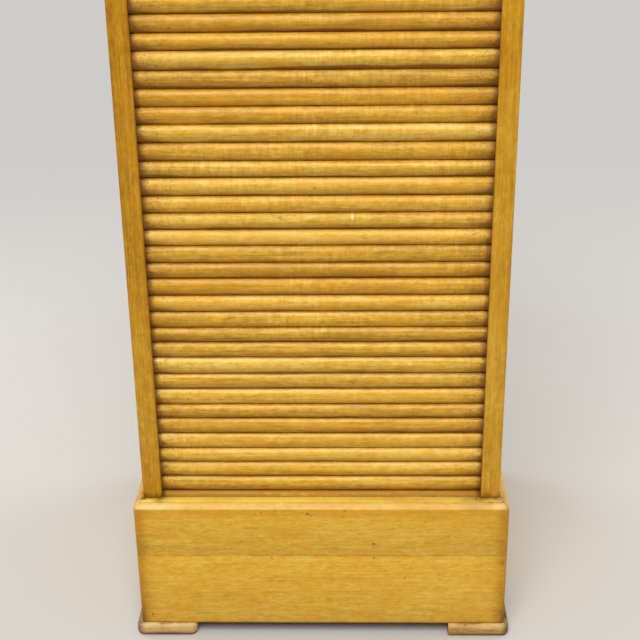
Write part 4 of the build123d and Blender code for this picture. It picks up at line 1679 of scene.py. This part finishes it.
@dataclass
class Plinth:
    """The plinth: a front of two glued boards, mitred to the sides, on four pads."""

    finishes: Finishes
    chamfer: float = 0.007
    corner: float = 0.0035
    ease: float = 0.0003
    pad_corner: float = 0.009
    pad_round: float = 0.005
    sawn: str = "foot_front_right"
    offcut: float = 0.012
    screw_head: float = 0.0048
    screw_sink: float = 0.0025

    def build(self) -> None:
        """Builds the front, the sides, the back and the feet."""
        self.board("plinth_front_lower", "plinth_lower_board", (1, -1), crowned=False)
        self.board("plinth_front_upper", "plinth_upper_board", (1, -1), crowned=True)
        for hand, sign in HANDS.items():
            self.board(f"plinth_side_{hand}", f"plinth_end_{hand}", (sign,), crowned=True)
        back = Bench.block("plinth_rear_board", *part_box("plinth_back"))
        Bench.ease(back, self.ease)
        Bench.settle(back, self.finishes.plinth_rear, "case", "plinth_wood", "plinth_back")
        self.feet()

    def board(self, node: str, name: str, mitres: tuple[int, ...], crowned: bool) -> None:
        """Chamfers a board, rounds its corners and saws its mitres.

        Args:
            node: The CAD node that it stands for.
            name: The piece's name.
            mitres: The ends that are mitred, 1 for the right and -1 for the left.
            crowned: Whether its upper outer edge is chamfered.
        """
        low, high = Solids.box(node)
        is_front = len(mitres) > 1
        board = Bench.block(name, low, high)
        reach = max(abs(low.x), abs(high.x))

        def on_rim(a: Vector, b: Vector) -> bool:
            """Tells whether an edge is on the upper rim, at the plinth's front or side."""
            outer = (a.y + b.y) / 2 < low.y + NEAR or abs(a.x + b.x) / 2 > reach - NEAR
            return min(a.z, b.z) > high.z - NEAR and outer

        if crowned:
            Bench.bevel(board, on_rim, self.chamfer, cuts=1)
        Bench.round_corners(board, reach + low.y, self.corner, cuts=5)
        for sign in mitres:
            away = (sign, 1, 0) if is_front else (-sign, -1, 0)
            Bench.saw(board, (sign * reach, low.y, 0), away)
        Bench.ease(board, self.ease)
        finish = self.finishes.plinth if is_front else self.finishes.plinth_side
        Bench.settle(board, finish, "case", "plinth_wood", node)

    def feet(self) -> None:
        """Shapes one bullnosed pad, copies it to the corners and sinks the screws."""
        low, high = Solids.box("foot_front_left")
        middle = Vector(((low.x + high.x) / 2, (low.y + high.y) / 2, 0))
        pad = Bench.block("pad_master", low - middle, high - middle)
        thick = high.z - low.z
        Bench.bevel(pad, lambda a, b: abs(a.z - b.z) > NEAR, self.pad_corner, cuts=6)
        Bench.bevel(
            pad,
            lambda a, b: abs(a.z - b.z) < NEAR and (a.z < NEAR or a.z > thick - NEAR),
            self.pad_round,
            cuts=5,
        )
        for row in ("front", "rear"):
            for hand in HANDS:
                self.foot(pad, f"pad_{row}_{hand}", f"foot_{row}_{hand}")
        bpy.data.meshes.remove(pad.data)

    def foot(self, pad: bpy.types.Object, name: str, node: str) -> None:
        """Puts one foot in its place, and squares the inner end of the one that was sawn.

        Args:
            pad: The pad that it is a copy of.
            name: The piece's name.
            node: The CAD node that it stands for.
        """
        low, high = Solids.box(node)
        foot = Bench.copy(pad, name)
        Bench.put(foot, ((low.x + high.x) / 2, (low.y + high.y) / 2, 0))
        if node == self.sawn:
            Bench.faces(foot, lambda middle, facing: middle.x < low.x + self.pad_corner)
            bpy.ops.transform.translate(value=(-self.offcut, 0, 0))
            Bench.close()
            Bench.saw(foot, (low.x, 0, 0), (-1, 0, 0))
        Bench.sink(foot, "foot_screws", self.screw_head, self.screw_sink)
        Bench.smooth(foot)
        Bench.settle(foot, self.finishes.foot, "case", "foot_wood", node)


@dataclass
class Inside:
    """The deck, the shelves with their finger notches, the cleats under them and the inner back."""

    finishes: Finishes
    notch: float = 0.06
    notch_sides: int = 96
    ease: float = 0.0012
    panel_ease: float = 0.0004
    count: int = 8

    def build(self) -> None:
        """Builds the deck, the shelves, the inner back and the cleats."""
        deck = Bench.block("deck_plank", *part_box("deck_board"))
        Bench.ease(deck, self.ease, cuts=3)
        Bench.settle(deck, self.finishes.shelf, "case", "inner_wood", "deck_board")
        self.shelves()
        panel = Bench.block("inner_sheet", *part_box("inner_back"))
        Bench.sink(panel, "inner_back_screws")
        Bench.ease(panel, self.panel_ease, cuts=1)
        Bench.settle(panel, self.finishes.panel, "case", "inner_wood", "inner_back")
        for hand in HANDS:
            self.cleats(hand)

    def shelves(self) -> None:
        """Cuts the notch of one shelf and copies it to every height."""
        low, high = Solids.box("shelf_1")
        master = Bench.block("shelf_master", low, high)
        middle = (0, low.y - self.notch / 2, (low.z + high.z) / 2)
        notch = Bench.rod("notch", middle, self.notch, THROUGH, Grain.UPRIGHT, self.notch_sides)
        Bench.hollow(master, notch)
        Bench.ease(master, self.ease, cuts=3)
        for number in range(1, self.count + 1):
            node = f"shelf_{number}"
            shelf = Bench.copy(master, f"shelf_plank_{number}")
            Bench.put(shelf, (0, 0, Solids.box(node)[0].z - low.z))
            Bench.settle(shelf, self.finishes.shelf, "case", "inner_wood", node)
        bpy.data.meshes.remove(master.data)

    def cleats(self, hand: str) -> None:
        """Eases one cleat, sinks its screws and copies it under the deck and every shelf.

        Args:
            hand: left or right.
        """
        node = f"shelf_cleats_{hand}"
        places = [Solids.corners(points) for points in Solids.parts(node)]
        low, high = places[0]
        master = Bench.block("cleat_master", low, high)
        Bench.sink(master, "cleat_screws")
        Bench.ease(master, self.ease)
        strips = []
        for corner, _ in places:
            strip = Bench.copy(master, "strip")
            Bench.put(strip, corner - low)
            strips.append(strip)
        bpy.data.meshes.remove(master.data)
        cleats = Bench.join(strips, f"cleats_{hand}")
        Bench.settle(cleats, self.finishes.cleat, "case", "inner_wood", node)


@dataclass
class Lock:
    """The lock's front: a dished escutcheon and the plug that turns in it."""

    finishes: Finishes
    clear: float = 0.00005
    sides: int = 96
    plug_sides: int = 64
    rim_round: float = 0.0009
    rim: float = 0.0011
    dish: float = 0.0006
    collar: float = 0.0028
    fine: float = 0.00012
    tang: float = 0.0035
    tang_start_y: float = -0.162
    keyway: Vec = (0.002, 0.007, 0.008)
    ward: Vec = (0.0034, 0.003, 0.0016)

    def build(self) -> None:
        """Builds the escutcheon, then the plug."""
        self.escutcheon()
        self.plug()

    def escutcheon(self) -> None:
        """Turns a disc: rim rounded, face dished, collar left round the plug's hole."""
        low, high = Solids.box("lock_escutcheon")
        plug_low, plug_high = Solids.box("lock_plug")
        middle = (low + high) / 2
        bore = (plug_high.x - plug_low.x) / 2 + self.clear
        disc = Bench.rod(
            "escutcheon", middle, (high.x - low.x) / 2, high.y - low.y, Grain.DEEP, self.sides
        )
        Bench.bevel(disc, lambda a, b: max(a.y, b.y) < low.y + NEAR, self.rim_round, cuts=4)
        Bench.facing(disc, (0, -1, 0))
        bpy.ops.mesh.inset(thickness=self.rim)
        bpy.ops.mesh.inset(thickness=self.dish, depth=-self.dish)
        bpy.ops.mesh.inset(thickness=self.collar - self.dish)
        bpy.ops.mesh.inset(thickness=self.dish / 2, depth=self.dish / 2)
        Bench.close()
        Bench.hollow(disc, Bench.rod("bore", middle, bore, THROUGH, Grain.DEEP, self.sides))
        Bench.ease(disc, self.fine)
        Bench.settle(disc, self.finishes.brass, "tambour", "brass", "lock_escutcheon")

    def plug(self) -> None:
        """Turns a rod: face dished, tang drawn out behind, keyway cut."""
        low, high = Solids.box("lock_plug")
        radius = (high.x - low.x) / 2
        middle = Vector((0, (low.y + self.tang_start_y) / 2, (low.z + high.z) / 2))
        plug = Bench.rod("plug", middle, radius, self.tang_start_y - low.y, Grain.DEEP, self.plug_sides)
        Bench.facing(plug, (0, 1, 0))
        bpy.ops.mesh.inset(thickness=radius - self.tang)
        Bench.draw((0, high.y - self.tang_start_y, 0))
        Bench.close()
        Bench.facing(plug, (0, -1, 0))
        bpy.ops.mesh.inset(thickness=self.rim)
        bpy.ops.mesh.inset(thickness=self.dish, depth=-self.dish / 2)
        Bench.close()
        face = Vector((0, low.y, middle.z))
        for wide, deep, tall in (self.keyway, self.ward):
            half = Vector((wide / 2, deep, tall / 2))
            Bench.cut(plug, face - half, face + half)
        Bench.ease(plug, self.fine)
        Bench.settle(plug, self.finishes.brass, "lock", "brass", "lock_plug")


@dataclass
class Screws:
    """Every screw of the cabinet, one piece for each set."""

    finishes: Finishes
    seed: int = 7

    def build(self) -> None:
        """Shapes one screw for each set and copies it to its places, with the slots at random."""
        chance = random.Random(self.seed)
        sets = {
            "pull_screws": ("tambour", Head.SUNK),
            "back_screws": ("case", Head.SUNK),
            "inner_back_screws": ("case", Head.SUNK),
            "cleat_screws": ("case", Head.SUNK),
            "cheek_screws": ("case", Head.SUNK),
            "keeper_screws": ("case", Head.SUNK),
            "foot_screws": ("case", Head.CHEESE),
            "cam_screw": ("lock", Head.WASHER),
        }
        for node, (body, head) in sets.items():
            heads = Solids.heads(node)
            master = Screw(head, heads[0][2]).master()
            copies = []
            for place, facing, _ in heads:
                spin = Quaternion((0, 0, 1), chance.uniform(0, math.pi))
                turn = Vector((0, 0, 1)).rotation_difference(facing) @ spin
                screw = Bench.copy(master, "screw")
                Bench.put(screw, place, turn.to_euler())
                copies.append(screw)
            bpy.data.meshes.remove(master.data)
            joined = Bench.join(copies, f"slotted_{node}")
            Bench.settle(joined, self.finishes.steel, body, "steel", node)


@dataclass
class Carried:
    """The parts whose CAD shape is right: they keep it and get their finish."""

    finishes: Finishes

    def build(self) -> None:
        """Dresses the nodes."""
        dressed = {
            "lock_case": self.finishes.steel,
            "hook_cam": self.finishes.steel,
            "keeper": self.finishes.steel,
            "bend_cheek_left": self.finishes.cleat,
            "bend_cheek_right": self.finishes.cleat,
            "inner_batten_left": self.finishes.panel,
            "inner_batten_right": self.finishes.panel,
            "top_dowels": self.finishes.cleat,
            "plinth_dowels": self.finishes.cleat,
        }
        for name, finish in dressed.items():
            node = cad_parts[name]
            node.data.materials.clear()
            node.data.materials.append(finish)
            LOG.info("%s: keeps its shape, %s", name, finish.name)


@dataclass(frozen=True)
class Lamp:
    """A large soft lamp."""

    name: str
    place: Vec
    aim: Vec
    wide: float
    power: float

    def build(self) -> None:
        """Hangs the lamp and turns it to what it lights."""
        light = bpy.data.lights.new(self.name, "AREA")
        light.shape = "SQUARE"
        light.size = self.wide
        light.energy = self.power
        lamp = bpy.data.objects.new(self.name, light)
        bpy.context.scene.collection.objects.link(lamp)
        lamp.location = self.place
        lamp.rotation_euler = (Vector(self.aim) - Vector(self.place)).to_track_quat("-Z", "Y").to_euler()


@dataclass
class Studio:
    """A pale floor, soft lamps and the camera."""

    floor_size: float = 24.0
    floor_colour: Colour = shade(206, 204, 200)
    floor_patch: Colour = shade(200, 197, 192)
    tint: Colour = (1.0, 0.975, 0.945, 1.0)
    sky: float = 0.6
    horizon: float = 0.12
    backdrop: float = 0.62
    near: float = 0.7
    far: float = 2.2
    camera_place: Vec = (0.038, -1.544, 1.029)
    pitch: float = 23.89
    yaw: float = -1.53
    roll: float = 0.78
    lens: float = 72.7

    def build(self) -> None:
        """Builds the stage."""
        bpy.context.scene.view_settings.view_transform = "Standard"
        self.floor()
        self.world()
        Lamp("key", place=(-0.44, -3.54, 5.0), aim=(0, -0.1, 0.5), wide=3.5, power=246.0).build()
        for hand, sign in HANDS.items():
            place = (2.4 * sign, 1.5, 1.4)
            Lamp(f"fill_{hand}", place, aim=(0, 0.1, 0.6), wide=1.6, power=26.0).build()
        self.camera()

    def floor(self) -> None:
        """Lays a floor that fades into the backdrop far from the cabinet."""
        bpy.ops.object.select_all(action="DESELECT")
        bpy.ops.mesh.primitive_plane_add(size=self.floor_size, location=(0, 0, 0))
        floor = bpy.context.object
        floor.name = "studio_floor"
        nodes = Nodes.named("floor_paint")
        patch = nodes.noise(EVEN, 5.0)
        colour = nodes.mix(0.1 * patch, self.floor_colour, self.floor_patch)
        paint = nodes.add(
            "ShaderNodeBsdfPrincipled", None, {"Base Color": colour, "Roughness": 0.7 + 0.1 * patch}
        )
        glow = nodes.add("ShaderNodeEmission", None, {"Color": self.tint, "Strength": self.backdrop})
        spread = nodes.add("ShaderNodeVectorMath", {"operation": "LENGTH"}, {0: nodes.place}, "Value")
        share = nodes.seen() * nodes.step(spread, self.near, self.far)
        surface = nodes.add("ShaderNodeMixShader", None, {0: share, 1: paint, 2: glow})
        nodes.add("ShaderNodeOutputMaterial", None, {"Surface": surface})
        floor.data.materials.append(nodes.owner)

    def world(self) -> None:
        """Sets a soft sky, dimmer low down, which shows as an even pale backdrop."""
        world = bpy.data.worlds.new("studio_sky")
        bpy.context.scene.world = world
        nodes = Nodes(world)
        seen = nodes.seen()
        facing = nodes.add("ShaderNodeTexCoord", output="Generated")
        rise = nodes.add("ShaderNodeSeparateXYZ", None, {0: facing}, "Z")
        sky = self.horizon + (self.sky - self.horizon) * nodes.step(rise, 0.0, 0.75)
        strength = sky * (1 - seen) + self.backdrop * seen
        dome = nodes.add("ShaderNodeBackground", None, {"Color": self.tint, "Strength": strength})
        nodes.add("ShaderNodeOutputWorld", None, {"Surface": dome})

    def camera(self) -> None:
        """Stands the camera at the photograph's viewpoint."""
        pitch, yaw, roll = (math.radians(angle) for angle in (self.pitch, self.yaw, self.roll))
        forward = Vector(
            (math.sin(yaw) * math.cos(pitch), math.cos(yaw) * math.cos(pitch), -math.sin(pitch))
        )
        level = Vector((math.cos(yaw), -math.sin(yaw), 0.0))
        down = forward.cross(level)
        right = math.cos(roll) * level + math.sin(roll) * down
        down = -math.sin(roll) * level + math.cos(roll) * down
        turn = Matrix((right, -down, -forward)).transposed()
        lens = bpy.data.cameras.new("camera")
        lens.lens = self.lens
        camera = bpy.data.objects.new("camera", lens)
        camera.matrix_world = Matrix.Translation(self.camera_place) @ turn.to_4x4()
        bpy.context.scene.collection.objects.link(camera)
        bpy.context.scene.camera = camera


def main() -> None:
    """Builds the stage and the cabinet, sub-assembly by sub-assembly."""
    logging.basicConfig(level=logging.INFO, format="%(message)s")
    Studio().build()
    finishes = Finishes()
    for assembly in (Plinth, Case, Inside, Tambour, LeadRail, Lock, Screws, Carried):
        assembly(finishes).build()
        LOG.info("%s is built", assembly.__name__)


if __name__ == "__main__":
    main()
